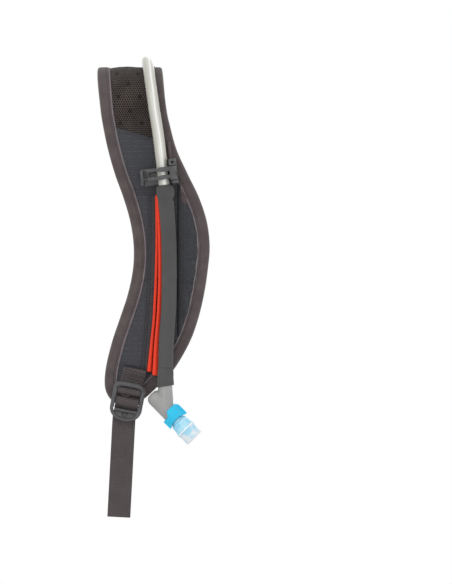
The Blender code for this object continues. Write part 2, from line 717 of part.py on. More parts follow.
def make_valve():
    """The twist collar with two ears, the core through it and the silicone bite valve over the core."""
    place = valve_place()
    inner, outer = BODY_RADIUS - 0.5 * MM, 9.3 * MM
    start, end = 3.2 * MM, 16 * MM
    soft = 0.7 * MM
    profile = [
        (inner, start), (outer - soft, start), (outer, start + soft), (outer, end - soft),
        (outer - soft, end), (inner, end),
    ]
    collar = turned("twist_collar", profile, "blue", 24)
    ears = []
    for side in (-1, 1):
        ear_x = side * (outer + 0.6 * MM)
        low, high = (ear_x - 1.1 * MM, -3 * MM, 9.4 * MM), (ear_x + 1.1 * MM, 3 * MM, end)
        ears.append(block("ear", low, high, "blue", 0.6 * MM))
    joined(collar, ears)
    notch = block("notch", (2.6 * MM, -outer - MM, start - MM), (7.4 * MM, -3 * MM, 8.6 * MM), "blue")
    cut(collar, [notch])
    core_profile = [(2.4, 12.4), (6.3, 12.4), (6.3, 14.4), (4.2, 14.8), (4.2, 30), (3.6, 31), (2.4, 31)]
    core = turned("valve_core", [(r * MM, z * MM) for r, z in core_profile], "blue")
    bite_profile = [
        (4.5, 16.3), (7.4, 16.3), (8.0, 19), (8.2, 21.5), (9.0, 24.3), (9.2, 25), (8.9, 25.9), (8.4, 27.2),
        (8.3, 30), (8.5, 34.6), (8.1, 36.2), (2.0, 36.4), (1.6, 33.4), (4.0, 32.4), (4.5, 30.4),
    ]
    bite = turned("bite_valve", [(r * MM, z * MM) for r, z in bite_profile], "silicone", 24)
    return [placed(piece, place) for piece in (collar, core, bite)]


# The buckle and the webbing -----------------------------------------------------------------------


def buckle_place():
    """From the buckle's own axes (across, back, up along it) to the world."""
    centre = front(BUCKLE_X, BUCKLE_DEPTH, BUCKLE_N)
    return Matrix.Translation(centre) @ Matrix.Rotation(math.radians(BUCKLE_LEAN), 4, "Y")


def side_strip(name, path, colour, matrix, spacing=1.5 * MM, slant=0.0, slant_from=0.0):
    """Webbing with a path of (out, up) in millimetres, seen from its side, about the buckle's middle.

    Above slant_from it leans to the right by slant for each unit up.
    """
    width, thick = WEBBING_WIDTH, WEBBING_THICKNESS
    line = smooth_line(np.array(path) * MM, spacing)
    along = np.gradient(line, axis=0)
    along /= np.linalg.norm(along, axis=1)[:, None]
    loops = []
    for (out, up), (d_out, d_up) in zip(line, along):
        edges = [(out + side * thick / 2 * d_up, up - side * thick / 2 * d_out) for side in (-1, 1)]
        (a_out, a_up), (b_out, b_up) = edges
        shift = slant * max(0.0, up - slant_from)
        left, right = shift - width / 2, shift + width / 2
        corners = [(left, -a_out, a_up), (right, -a_out, a_up), (right, -b_out, b_up), (left, -b_out, b_up)]
        loops.append([matrix @ Vector(corner) for corner in corners])
    return loft(name, loops, colour)


def bent_bar(points, radius, colour, sides=12):
    """A round bar through points that lie near the XZ plane."""
    loops = []
    for k, point in enumerate(points):
        along = (points[min(k + 1, len(points) - 1)] - points[max(k - 1, 0)]).normalized()
        across = along.cross(Vector((0, 1, 0))).normalized()
        out = along.cross(across)
        loops.append([point + across * u + out * v for u, v in circle(radius, sides)])
    return loft("bar", loops, colour)


def make_buckle():
    """A frame with an arched bar on top, two round bars and a thumb plate with a round end."""
    thick = 2.0 * MM
    side = BUCKLE_HALF - 1.3 * MM
    rim = [(BUCKLE_HALF, 11 * MM), (-BUCKLE_HALF, 11 * MM)]
    for turn in np.linspace(math.pi, 2 * math.pi, 13):
        rim.append((BUCKLE_HALF * math.cos(turn), -6 * MM + 11 * MM * math.sin(turn)))
    faces = [[Vector((x, y, z)) for x, z in rim] for y in (-thick, thick)]
    plate = loft("ladder_buckle", faces, "hard")
    window = block("window", (-BUCKLE_WINDOW, -0.01, THUMB_TOP), (BUCKLE_WINDOW, 0.01, 15 * MM), "hard")
    cut(plate, [window])
    rounds = []
    for height in (ANCHOR_BAR, ADJUST_BAR):
        ends = [Vector((x, 0, height)) for x in (-BUCKLE_WINDOW - MM, BUCKLE_WINDOW + MM)]
        rounds.append(bent_bar(ends, BAR_RADIUS, "hard"))
    arch = []
    for turn in np.linspace(0, math.pi, 11):
        rise = math.sin(turn)
        x = math.copysign(abs(math.cos(turn)) ** 0.6, math.cos(turn))
        arch.append(Vector((side * x, -2.2 * MM * rise, 10 * MM + 5.8 * MM * rise**0.6)))
    rounds.append(bent_bar(arch, ARCH_RADIUS, "hard"))
    return placed(joined(plate, rounds), buckle_place())


def make_webbing():
    place = buckle_place()
    reach = (BAR_RADIUS + WEBBING_THICKNESS / 2) / MM + 0.3
    lean = reach * math.sqrt(0.5)
    top = ANCHOR_BAR / MM
    anchor = [
        (-3.3, 27), (-3.3, 22), (-3.3, 16), (-2.7, 13.4), (0, top + reach + 0.1), (lean, top + lean),
        (reach, top), (lean, top - lean), (0, top - reach), (-lean, top - lean), (-reach - 0.1, top),
        (-4.6, 12.4), (-5.3, 16), (-5.3, 22), (-5.3, 27),
    ]
    side_strip("anchor_webbing", anchor, "webbing", place, slant=ANCHOR_SLANT, slant_from=ANCHOR_BAR + 4 * MM)
    bar = ADJUST_BAR / MM
    loop = [
        (LOAD_OUT, -13.4), (LOAD_OUT, -7), (LOAD_OUT + 1, -3), (-reach, bar), (-lean, bar + lean),
        (0, bar + reach), (lean, bar + lean), (reach, bar), (lean, -1.6), (-0.4, -3.9), (-2.9, -6.2),
        (TAIL_OUT, -9.5), (TAIL_OUT, -13.4),
    ]
    adjust = side_strip("adjust_webbing", loop, "webbing", place)
    start = place @ Vector((0, 0, HANG_START - GAP))
    hang = Matrix.Translation(start) @ Matrix.Rotation(math.radians(HANG_LEAN), 4, "Y")
    length = (start.z - (CREST - WEBBING_END_DEPTH)) / math.cos(math.radians(HANG_LEAN)) / MM
    tail = [(TAIL_OUT, -1.2), (TAIL_OUT, -length / 2), (TAIL_OUT, -length)]
    load = [(LOAD_OUT, -1.2), (LOAD_OUT, -length / 2), (LOAD_OUT, 2 - length)]
    front_strand = side_strip("webbing_tail", tail, "webbing", hang, 12 * MM)
    back_strand = side_strip("webbing_load", load, "webbing", hang, 12 * MM)
    return adjust, front_strand, back_strand


# The free lead ------------------------------------------------------------------------------------


def make_free_lead():
    """The rest of the tube, folded once behind the strap and tied, up to its plug."""
    route = smooth_line([(0.0, y * MM, z * MM) for y, z in LEAD_ROUTE], 11 * MM)
    hose("tube_free_lead", [Vector(point) for point in route], TUBE_RADIUS, "tube")
    y, z = PLUG_START
    profile = [
        (2.0, 0), (6.2, 0), (6.6, 0.6), (6.6, 7), (8.2, 8), (8.2, 17), (7.4, 18), (5.6, 18), (5.6, 22),
        (4.6, 22), (4.6, 24), (5.6, 24), (5.6, 27), (5.0, 28), (2.0, 28),
    ]
    plug = turned("quick_plug", [(r * MM, h * MM) for r, h in profile], "hard")
    placed(plug, Matrix.Translation((0, y, z)))
    placed(make_oring("plug_oring", 5.45 * MM, 23 * MM, 0.8 * MM), Matrix.Translation((0, y, z)))
    make_tie()


def make_tie():
    """A band round both runs of the lead."""
    front_y, rear_y = 14 * MM, 24.8 * MM
    inner, outer = [], []
    clear = TUBE_RADIUS + 0.8 * MM
    for radius, points in ((clear, inner), (clear + MM, outer)):
        for turn in np.linspace(-math.pi / 2, math.pi / 2, 9):
            points.append((radius * math.sin(turn), rear_y + radius * math.cos(turn)))
        for turn in np.linspace(math.pi / 2, 3 * math.pi / 2, 9):
            points.append((radius * math.sin(turn), front_y + radius * math.cos(turn)))
    ends = (TIE_HEIGHT - 5 * MM, TIE_HEIGHT + 5 * MM)
    loops = [[Vector((x, y, z)) for x, y in outer] for z in ends]
    holes = [[Vector((x, y, z)) for x, y in inner] for z in ends]
    loft("hose_tie", loops, "rubber", holes)


# Joints -------------------------------------------------------------------------------------------


def hang_on(name, point, pieces, parent=None):
    """Parents pieces to a new empty at a joint, and the empty to the joint before it, without moving them."""
    empty = bpy.data.objects.new(name, None)
    empty.empty_display_size = 10 * MM
    bpy.context.collection.objects.link(empty)
    empty.matrix_world = Matrix.Translation(point)
    bpy.context.view_layer.update()
    if parent:
        empty.parent = parent
        empty.matrix_parent_inverse = parent.matrix_world.inverted()
        bpy.context.view_layer.update()
    for piece in pieces:
        piece.parent = empty
        piece.matrix_parent_inverse = empty.matrix_world.inverted()
    return empty


def main():
    clear_scene()
    make_strap()
    make_binding()
    make_pocket()
    make_rail()
    make_dock()
    make_keepers()
    place = slider_place()
    slide = hang_on("slider_axis", place.translation, [placed(piece, place) for piece in make_slider()])
    hang_on("gate_axis", place @ Vector((PIN_X, -PIN_OUT, 0)), [placed(make_gate(), place)], slide)
    make_tube_run()
    make_sleeve_top()
    parent = None
    for number, depth in enumerate(BEND_DEPTHS):
        parent = hang_on(f"swing_axis_{number + 1}", tube_at(depth), make_length(number), parent)
    elbow = hang_on("elbow_axis", front(ELBOW_X, SLEEVE_END_DEPTH, TUBE_IN_SLEEVE), make_elbow(), parent)
    hang_on("valve_axis", valve_place().translation, make_valve(), elbow)
    buckle = make_buckle()
    adjust, tail, load = make_webbing()
    bar = buckle_place() @ Vector((0, 0, ANCHOR_BAR))
    tilt = hang_on("buckle_axis", bar, [buckle, adjust])
    hang_on("webbing_axis", buckle_place() @ Vector((0, HANG_PIVOT, HANG_START)), [tail, load], tilt)
    make_free_lead()


main()
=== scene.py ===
"""The looks of a hydration pack's shoulder strap, with a drinking tube that magnets return to it.

Everything is in metres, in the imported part's own frame. Places on the strap are (x, s, n): x across it, s along
it from the yoke, and n out of its middle surface. Textures read the UV map, which holds millimetres.
"""

import json
import math

import bmesh
import bpy
import numpy as np
from mathutils import Matrix, Vector, noise

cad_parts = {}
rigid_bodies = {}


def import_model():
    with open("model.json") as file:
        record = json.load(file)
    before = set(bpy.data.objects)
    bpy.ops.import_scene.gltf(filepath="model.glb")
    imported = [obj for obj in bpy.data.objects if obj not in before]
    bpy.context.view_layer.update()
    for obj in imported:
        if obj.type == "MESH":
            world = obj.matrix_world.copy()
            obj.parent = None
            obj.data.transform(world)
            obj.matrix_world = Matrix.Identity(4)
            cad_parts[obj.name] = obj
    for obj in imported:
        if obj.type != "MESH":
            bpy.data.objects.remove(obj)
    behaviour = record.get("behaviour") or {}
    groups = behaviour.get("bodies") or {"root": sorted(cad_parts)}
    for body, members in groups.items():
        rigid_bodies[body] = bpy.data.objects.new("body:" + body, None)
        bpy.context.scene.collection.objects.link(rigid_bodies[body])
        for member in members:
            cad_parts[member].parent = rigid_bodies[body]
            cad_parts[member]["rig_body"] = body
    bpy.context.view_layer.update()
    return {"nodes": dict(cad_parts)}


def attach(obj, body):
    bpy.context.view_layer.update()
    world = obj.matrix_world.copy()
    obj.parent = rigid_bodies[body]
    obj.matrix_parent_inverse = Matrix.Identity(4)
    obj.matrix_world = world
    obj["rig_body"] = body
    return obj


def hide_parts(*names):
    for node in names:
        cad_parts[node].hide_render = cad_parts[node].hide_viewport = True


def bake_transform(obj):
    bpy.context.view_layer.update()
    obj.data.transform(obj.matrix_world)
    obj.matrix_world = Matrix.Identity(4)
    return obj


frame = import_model()
NODES = frame["nodes"]
MM = 0.001

# The strap's run, as the part has it: a rear leg, half a turn over the shoulder, and a straight front leg.
WRAP_RADIUS = 31 * MM
REAR_LENGTH = 45 * MM
FRONT_START = REAR_LENGTH + math.pi * WRAP_RADIUS
BINDING_OUT = 6.5 * MM
CREST = REAR_LENGTH + WRAP_RADIUS + BINDING_OUT
SKIN_OUT = 5.0 * MM
FOAM_HALF = 3.7 * MM

# The strap's two edges as (s, x) in millimetres, from the yoke to the point of the tip.
LEFT_EDGE = [
    (0, -29), (22, -35), (45, -41.5), (70, -44.5), (94, -45.6), (118, -44.8), (142, -42.5), (157, -40.2),
    (177, -36), (198, -30), (218, -22.8), (239, -16.8), (260, -13.9), (280, -14.6), (301, -18.9),
    (322, -25.8), (342, -32.5), (363, -37.6), (378, -38.9), (387, -36.8), (394, -31),
]
RIGHT_EDGE = [
    (0, 20), (22, 17), (45, 13.4), (70, 11.2), (94, 10.3), (118, 11.2), (142, 14), (157, 17.2), (177, 22.8),
    (198, 32.4), (218, 42), (239, 48.8), (260, 51.2), (280, 49.6), (301, 46.4), (322, 41.4), (342, 34.2),
    (363, 22.4), (373, 13.6), (382, 5), (391, -5),
]
TIP = (399, -19)

# Seams between the face panels: the depth below the crest at x = 0, and how much deeper per unit of x.
SEAMS = {
    "mesh": (61.5 * MM, 0.29), "upper": (109 * MM, 0.09), "middle": (185 * MM, 0.06), "lower": (263 * MM, 0.21),
}
BINDING_WIDTH = 9 * MM
WELT_INSET = 9.9 * MM
PANEL_INSET = 3 * MM
CROWN = 1.8 * MM

# The tube's middle as (depth, x, n) in millimetres along the sleeve, and as (x, s, n) over the shoulder.
TUBE_LINE = [
    (67, 8.2, 16.8), (93, 11.2, 16.8), (103, 12.4, 16.8), (115, 13.5, 16.8), (150, 16.0, 16.8), (201, 16.2, 16.8),
    (236, 14.0, 16.8), (262, 13.3, 16.8), (276, 13.2, 16.8),
]
TUBE_RUN = [
    (-0.2, 6, 11.9), (-0.9, 30, 11.9), (-1.8, 60, 11.9), (-2.6, 94, 11.9), (-0.4, 120, 12.2), (3.6, 142, 13.6),
    (7.0, 163, 16.2),
]
TUBE_RADIUS = 4.9 * MM
TUBE_BORE = 3.2 * MM
BEND_DEPTHS = [113 * MM, 144 * MM, 174 * MM, 204 * MM, 234 * MM]
SLEEVE_TOP = 102.5 * MM
SLEEVE_END = 275.3 * MM
HEM_SLOPE = 0.15
STRAP_PIPING_LINE = [
    (112, 5.8, 9.2), (150, 6.1, 8.9), (184, 5.3, 8.9), (201, 4.5, 8.9), (218, 3.6, 8.9), (236, 1.9, 8.9),
    (262, -0.4, 8.9),
]
DOCK_LINE = [(114, 10.4, 0), (150, 11.0, 0), (201, 10.4, 0), (236, 7.2, 0), (256, 4.6, 0)]
PIPING_RADIUS = 1.35 * MM
PIPING_N = 14.2 * MM
# The piping's radius at these depths, in millimetres: it swells towards its lower end.
PIPING_SWELL = [(112, 1.3), (225, 1.4), (240, 1.6), (253, 1.85), (262, 2.15)]
# How far left of the tube's middle the sleeve's piping is, at these depths, in millimetres.
PIPING_SIDE = [(112, 6.9), (125, 7.2), (158, 7.7), (184, 7.9), (201, 8.3), (236, 8.5), (253, 8.9), (267, 9.1)]

# The free lead's route behind the strap as (y, z) in millimetres, at x = 0.
LEAD_ROUTE = [
    (12, 5.6), (12.4, -15), (14, -47), (12, -72), (1, -108), (-9, -132), (-11, -152), (-2, -172), (19, -181),
    (40, -172), (49, -152), (46, -130), (37, -105), (28, -74), (24.8, -47), (26, -20), (30, 2), (31, 20),
]

# The buckle and the elbow.
BUCKLE_PLACE = (-19.6 * MM, 289 * MM, 12.5 * MM)
BUCKLE_LEAN = 11
ANCHOR_SLANT = 0.10
ANCHOR_BAR = 9.5
ADJUST_BAR = 0.8
BAR_RADIUS = 1.5
WEBBING_WIDTH = 19.8 * MM
WEBBING_THICKNESS = 1.2 * MM
HANG_START = -14 * MM
HANG_LEAN = 3
TAIL_OUT = -3.3
LOAD_OUT = -4.9


# The camera and the light ------------------------------------------------------------------------------------


def make_stage():
    scene = bpy.context.scene
    camera = bpy.data.objects.new("camera", bpy.data.cameras.new("camera"))
    scene.collection.objects.link(camera)
    camera.location = (0.0654, -7.0, -0.1119)
    camera.rotation_euler = (math.radians(90), 0, 0)
    camera.data.sensor_fit = "HORIZONTAL"
    camera.data.sensor_width = 36
    camera.data.lens = 641.8
    camera.data.clip_end = 20
    scene.camera = camera
    scene.view_settings.view_transform = "Standard"
    world = bpy.data.worlds.new("white_studio")
    world.use_nodes = True
    backdrop = world.node_tree.nodes["Background"]
    backdrop.inputs["Color"].default_value = (1, 1, 1, 1)
    backdrop.inputs["Strength"].default_value = 1.0
    scene.world = world
    lights = [
        ("key", (-0.9, -1.3, 0.8), 0.6, 2.4),
        ("streak", (-0.25, -1.2, 0.0), 0.16, 0.8),
        ("fill", (1.2, -1.0, 0.1), 0.9, 0.8),
        ("back", (0.3, 1.4, 0.6), 1.0, 2.0),
    ]
    for name, place, size, energy in lights:
        lamp = bpy.data.lights.new(name, "AREA")
        lamp.size = size
        lamp.energy = energy
        holder = bpy.data.objects.new(name, lamp)
        holder.location = place
        aim = Vector((0, -0.06, -0.1)) - Vector(place)
        holder.rotation_euler = aim.to_track_quat("-Z", "Y").to_euler()
        scene.collection.objects.link(holder)
    floor_mesh = bpy.data.meshes.new("studio_floor")
    half, height = 1.4, -0.62
    corners = [(-half, -half, height), (half, -half, height), (half, half, height), (-half, half, height)]
    floor_mesh.from_pydata(corners, [], [(0, 1, 2, 3)])
    floor = bpy.data.objects.new("studio_floor", floor_mesh)
    scene.collection.objects.link(floor)
    pale = bpy.data.materials.new("pale_floor")
    pale.use_nodes = True
    shader = pale.node_tree.nodes["Principled BSDF"]
    shader.inputs["Base Color"].default_value = (0.8, 0.8, 0.8, 1)
    shader.inputs["Roughness"].default_value = 0.6
    floor_mesh.materials.append(pale)


# Materials ---------------------------------------------------------------------------------------------------


class Paint:
    """A procedural material while it is put together."""

    def __init__(self, name, roughness, **sockets):
        self.material = bpy.data.materials.new(name)
        self.material.use_nodes = True
        self.tree = self.material.node_tree
        self.shader = self.tree.nodes["Principled BSDF"]
        self.shader.inputs["Roughness"].default_value = roughness
        for key, value in sockets.items():
            self.shader.inputs[key.replace("_", " ")].default_value = value

    def link(self, source, target):
        if isinstance(source, bpy.types.NodeSocket):
            self.tree.links.new(source, target)
        else:
            target.default_value = source

    def math(self, operation, first, second=0.0):
        node = self.tree.nodes.new("ShaderNodeMath")
        node.operation = operation
        self.link(first, node.inputs[0])
        self.link(second, node.inputs[1])
        return node.outputs[0]

    def uv(self):
        """The UV map's two values, in millimetres."""
        source = self.tree.nodes.new("ShaderNodeUVMap")
        source.uv_map = "UVMap"
        split = self.tree.nodes.new("ShaderNodeSeparateXYZ")
        self.tree.links.new(source.outputs[0], split.inputs[0])
        return split.outputs[0], split.outputs[1]

    def place(self):
        return self.tree.nodes.new("ShaderNodeTexCoord").outputs["Object"]

    def combined(self, u, v):
        node = self.tree.nodes.new("ShaderNodeCombineXYZ")
        self.link(u, node.inputs[0])
        self.link(v, node.inputs[1])
        return node.outputs[0]

    def grain(self, scale, detail=3.0, vector=None):
        node = self.tree.nodes.new("ShaderNodeTexNoise")
        node.inputs["Scale"].default_value = scale
        node.inputs["Detail"].default_value = detail
        self.tree.links.new(vector or self.place(), node.inputs["Vector"])
        return node.outputs[0]

    def step(self, value, low, high, start=0.0, end=1.0):
        node = self.tree.nodes.new("ShaderNodeMapRange")
        node.interpolation_type = "SMOOTHSTEP"
        self.link(value, node.inputs[0])
        for k, number in enumerate((low, high, start, end)):
            node.inputs[k + 1].default_value = number
        return node.outputs[0]

    def lines(self, value, pitch, share):
        """1 on lines that take this share of the pitch, and 0 between them."""
        part = self.math("FRACT", self.math("DIVIDE", value, pitch))
        away = self.math("ABSOLUTE", self.math("SUBTRACT", part, 0.5))
        return self.step(away, 0.5 - share, 0.5 - share * 0.3)

    def lattice(self, u, v, pitches):
        """The distance to the nearest point of a staggered lattice. pitches are across and along it."""
        nearest = None
        for shift in (0.0, 0.5):
            squares = []
            for value, pitch in zip((u, v), pitches):
                part = self.math("FRACT", self.math("ADD", self.math("DIVIDE", value, pitch), shift))
                away = self.math("MULTIPLY", self.math("SUBTRACT", part, 0.5), pitch)
                squares.append(self.math("MULTIPLY", away, away))
            away = self.math("SQRT", self.math("ADD", *squares))
            nearest = away if nearest is None else self.math("MINIMUM", nearest, away)
        return nearest

    def mixed(self, factor, first, second):
        node = self.tree.nodes.new("ShaderNodeMix")
        node.data_type = "RGBA"
        self.link(factor, node.inputs[0])
        for socket, colour in ((node.inputs[6], first), (node.inputs[7], second)):
            self.link(colour if isinstance(colour, bpy.types.NodeSocket) else (*colour, 1), socket)
        return node.outputs[2]

    def colour(self, source):
        self.link(source, self.shader.inputs["Base Color"])

    def rough(self, source):
        self.link(source, self.shader.inputs["Roughness"])

    def bump(self, height, distance, strength=1.0):
        node = self.tree.nodes.new("ShaderNodeBump")
        node.inputs["Strength"].default_value = strength
        node.inputs["Distance"].default_value = distance
        self.link(height, node.inputs["Height"])
        self.link(node.outputs[0], self.shader.inputs["Normal"])


def scaled(colour, factor):
    return tuple(min(1.0, c * factor) for c in colour)


def tape_paint(name, colour, pitch):
    """Woven tape with fine ribs across it, and faint wear."""
    paint = Paint(name, 0.8, Specular_IOR_Level=0.2, Sheen_Weight=0.12, Sheen_Roughness=0.5)
    u, v = paint.uv()
    ribs = paint.lines(v, pitch, 0.28)
    threads = paint.lines(u, pitch * 0.8, 0.25)
    weave = paint.math("ADD", paint.math("MULTIPLY", ribs, 0.7), paint.math("MULTIPLY", threads, 0.3))
    cloud = paint.step(paint.grain(90, 4), 0.3, 0.7)
    base = paint.mixed(cloud, scaled(colour, 0.86), scaled(colour, 1.16))
    paint.colour(paint.mixed(paint.math("MULTIPLY", weave, 0.5), base, scaled(colour, 1.6)))
    paint.bump(weave, 0.00018, 0.7)
    return paint.material


# The hollow colour is painted shade, near black, for the open cells and the dimples.
def mesh_paint(name, net, hollow, pitch=1.95):
    """Hexagonal spacer mesh with open cells, and wide dimples on a staggered lattice, both painted near-black as
    painted shade.
    """
    paint = Paint(name, 0.85, Specular_IOR_Level=0.2, Sheen_Weight=0.1)
    u, v = paint.uv()
    cell = paint.step(paint.lattice(u, v, (pitch, pitch * math.sqrt(3))), 0.36 * pitch, 0.50 * pitch)
    cloud = paint.step(paint.grain(60, 3), 0.3, 0.7)
    yarn = paint.mixed(cloud, scaled(net, 0.75), scaled(net, 1.25))
    drift = paint.math("MULTIPLY", paint.math("SUBTRACT", v, DIMPLE_START[1]), DIMPLE_DRIFT)
    over = paint.math("SUBTRACT", paint.math("SUBTRACT", u, DIMPLE_START[0]), drift)
    down = paint.math("SUBTRACT", v, DIMPLE_START[1])
    away = paint.lattice(
        paint.math("ADD", over, DIMPLE_PITCH[0] / 2), paint.math("ADD", down, DIMPLE_PITCH[1] / 2), DIMPLE_PITCH
    )
    # Painted shade: the middle of each dimple takes the near-black colour.
    dimple_shade = paint.step(away, 0.9, 2.4, 0.12, 1.0)
    # Painted shade: the open cells and the dimples get the near-black colour.
    paint.colour(paint.mixed(paint.math("MULTIPLY", cell, dimple_shade), hollow, yarn))
    paint.bump(cell, 0.0005, 0.9)
    return paint.material


def ripstop_paint(name, colour, line_colour, dash_pitch=4.35):
    """Dark plain weave with a faint grid of thicker yarns and broken pale picks across it."""
    paint = Paint(name, 0.75, Specular_IOR_Level=0.25, Sheen_Weight=0.08)
    u, v = paint.uv()
    grid = paint.math("MAXIMUM", paint.lines(u, 2.4, 0.14), paint.lines(v, 2.4, 0.14))
    rows = paint.lines(v, dash_pitch, 0.07)
    broken = paint.grain(1.0, 2, paint.combined(paint.math("MULTIPLY", u, 0.35), paint.math("MULTIPLY", v, 1.3)))
    fleck = paint.grain(1.0, 3, paint.combined(paint.math("MULTIPLY", u, 1.5), paint.math("MULTIPLY", v, 1.1)))
    fine = paint.math("MAXIMUM", paint.lines(u, 0.7, 0.25), paint.lines(v, 0.7, 0.25))
    base = paint.mixed(paint.step(fleck, 0.35, 0.68), scaled(colour, 0.76), scaled(colour, 1.22))
    base = paint.mixed(paint.math("MULTIPLY", grid, 0.4), base, scaled(colour, 0.5))
    dash = paint.math("MULTIPLY", rows, paint.step(broken, 0.45, 0.62))
    paint.colour(paint.mixed(dash, base, line_colour))
    height = paint.math("SUBTRACT", paint.math("MULTIPLY", fine, 0.3), paint.math("MULTIPLY", grid, 0.5))
    paint.bump(paint.math("ADD", height, paint.math("MULTIPLY", dash, 0.4)), 0.0002, 0.8)
    return paint.material


def webbing_paint(name, colour, pitch=1.9):
    """Herringbone webbing: slanting ribs that turn about at the middle of each quarter, with smooth selvedges."""
    paint = Paint(name, 0.76, Specular_IOR_Level=0.25, Sheen_Weight=0.1)
    u, v = paint.uv()
    zigzag = paint.math("ABSOLUTE", paint.math("SUBTRACT", paint.math("FRACT", paint.math("DIVIDE", u, 6.2)), 0.5))
    slanting = paint.math("ADD", v, paint.math("MULTIPLY", zigzag, 5.5))
    ribs = paint.lines(slanting, pitch, 0.34)
    cross = paint.lines(v, 0.95, 0.3)
    cloud = paint.step(paint.grain(120, 4), 0.3, 0.7)
    base = paint.mixed(cloud, scaled(colour, 0.85), scaled(colour, 1.15))
    weave = paint.math("ADD", paint.math("MULTIPLY", ribs, 0.65), paint.math("MULTIPLY", cross, 0.35))
    paint.colour(paint.mixed(paint.math("MULTIPLY", weave, 0.8), scaled(colour, 0.62), base))
    paint.bump(weave, 0.0004, 0.9)
    return paint.material


def knit_paint(name, colour, rib=1.1):
    """Smooth knitted jersey with fine wales."""
    paint = Paint(name, 0.9, Specular_IOR_Level=0.15, Sheen_Weight=0.06, Sheen_Roughness=0.6)
    u, v = paint.uv()
    wales = paint.lines(u, rib, 0.3)
    courses = paint.lines(v, rib * 0.7, 0.3)
    weave = paint.math("ADD", paint.math("MULTIPLY", wales, 0.6), paint.math("MULTIPLY", courses, 0.4))
    cloud = paint.step(paint.grain(45, 4), 0.3, 0.7)
    base = paint.mixed(cloud, scaled(colour, 0.9), scaled(colour, 1.1))
    paint.colour(paint.mixed(paint.math("MULTIPLY", weave, 0.35), base, scaled(colour, 1.35)))
    paint.bump(weave, 0.0001, 0.6)
    return paint.material


def cord_paint(name, colour, dark):
    """Woven piping with fine slanting yarns."""
    paint = Paint(name, 0.62, Specular_IOR_Level=0.3)
    u, v = paint.uv()
    yarns = paint.lines(paint.math("ADD", v, paint.math("MULTIPLY", u, 0.8)), 0.8, 0.35)
    paint.colour(paint.mixed(paint.math("MULTIPLY", yarns, 0.5), colour, dark))
    paint.bump(yarns, 0.00012, 0.5)
    return paint.material


def plastic_paint(name, colour, roughness, speckle=0.12, coat=0.0, metal=0.0):
    """Moulded plastic or metal with a fine spark texture, and paler rubbed patches."""
    paint = Paint(name, roughness, Coat_Weight=coat, Coat_Roughness=0.2, Metallic=metal)
    fine = paint.grain(2600, 2)
    broad = paint.step(paint.grain(140, 4), 0.35, 0.75)
    paint.colour(paint.mixed(broad, scaled(colour, 1 - speckle), scaled(colour, 1 + speckle)))
    paint.rough(paint.step(paint.grain(420, 3), 0.2, 0.8, roughness * 0.85, min(1.0, roughness * 1.2)))
    paint.bump(fine, 0.00003, 0.5)
    return paint.material


def tube_paint(name):
    """Milky polyurethane, with painted highlight streaks and painted shade streaks along it, four times round, in
    place of the light that its thick sides bend.
    """
    paint = Paint(name, 0.25, Coat_Weight=0.6, Coat_Roughness=0.12, IOR=1.45)
    u, _ = paint.uv()
    turn = 2 * math.pi * TUBE_RADIUS / MM / 4
    shifted = paint.math("ADD", u, turn / 2 - 0.6)
    wander = paint.math("MULTIPLY", paint.math("SUBTRACT", paint.grain(22, 2), 0.5), 0.9)
    shifted = paint.math("ADD", shifted, wander)
    # Painted shade: broad grey streaks where the tube's sides would look darker.
    painted_side_shade = paint.lines(paint.math("ADD", shifted, turn / 2), turn, 0.42)
    # Painted highlight: a narrow pale streak.
    painted_highlight = paint.lines(shifted, turn, 0.085)
    # Painted shade: a thin grey line near each painted highlight.
    edge = paint.lines(paint.math("ADD", shifted, turn * 0.22), turn, 0.06)
    broad = paint.step(paint.grain(40, 3), 0.3, 0.7)
    body = paint.mixed(broad, (0.53, 0.53, 0.48), (0.62, 0.62, 0.57))
    body = paint.mixed(paint.math("MULTIPLY", painted_side_shade, 0.75), body, (0.37, 0.36, 0.31))
    body = paint.mixed(paint.math("MULTIPLY", edge, 0.5), body, (0.40, 0.40, 0.37))
    paint.colour(paint.mixed(painted_highlight, body, (0.83, 0.83, 0.80)))
    paint.rough(paint.step(paint.grain(300, 3), 0.2, 0.8, 0.18, 0.3))
    return paint.material


def silicone_paint(name):
    """Cloudy clear silicone over a cyan stem. The UV map's second value is the place along the valve."""
    paint = Paint(name, 0.2, IOR=1.41, Coat_Weight=0.5, Coat_Roughness=0.08)
    _, v = paint.uv()
    cloud = paint.grain(95, 2)
    near = paint.mixed(paint.step(cloud, 0.4, 0.62), (0.26, 0.62, 0.82), (0.42, 0.72, 0.86))
    far = paint.mixed(paint.step(cloud, 0.42, 0.56), (0.70, 0.76, 0.80), (0.34, 0.66, 0.83))
    body = paint.mixed(paint.step(v, 22.5, 25.5), near, far)
    body = paint.mixed(paint.step(v, 33.0, 36.0), body, (0.72, 0.74, 0.77))
    ridge = paint.math("SUBTRACT", paint.step(v, 24.2, 24.9), paint.step(v, 25.2, 26.0))
    paint.colour(paint.mixed(ridge, body, (0.86, 0.88, 0.90)))
    paint.rough(paint.step(paint.grain(260, 3), 0.2, 0.8, 0.12, 0.28))
    return paint.material


# The mesh's dimples, in millimetres: their pitches across and along, the (x, s) of one, and how far they drift
# to the right for each unit down.
DIMPLE_PITCH = (18.7, 21.0)
DIMPLE_START = (-17.0, 143.6)
DIMPLE_DRIFT = 0.078
BINDING_COLOUR = (0.085, 0.068, 0.068)
RIPSTOP_COLOUR = (0.055, 0.056, 0.064)
RIPSTOP_LINE = (0.098, 0.10, 0.112)


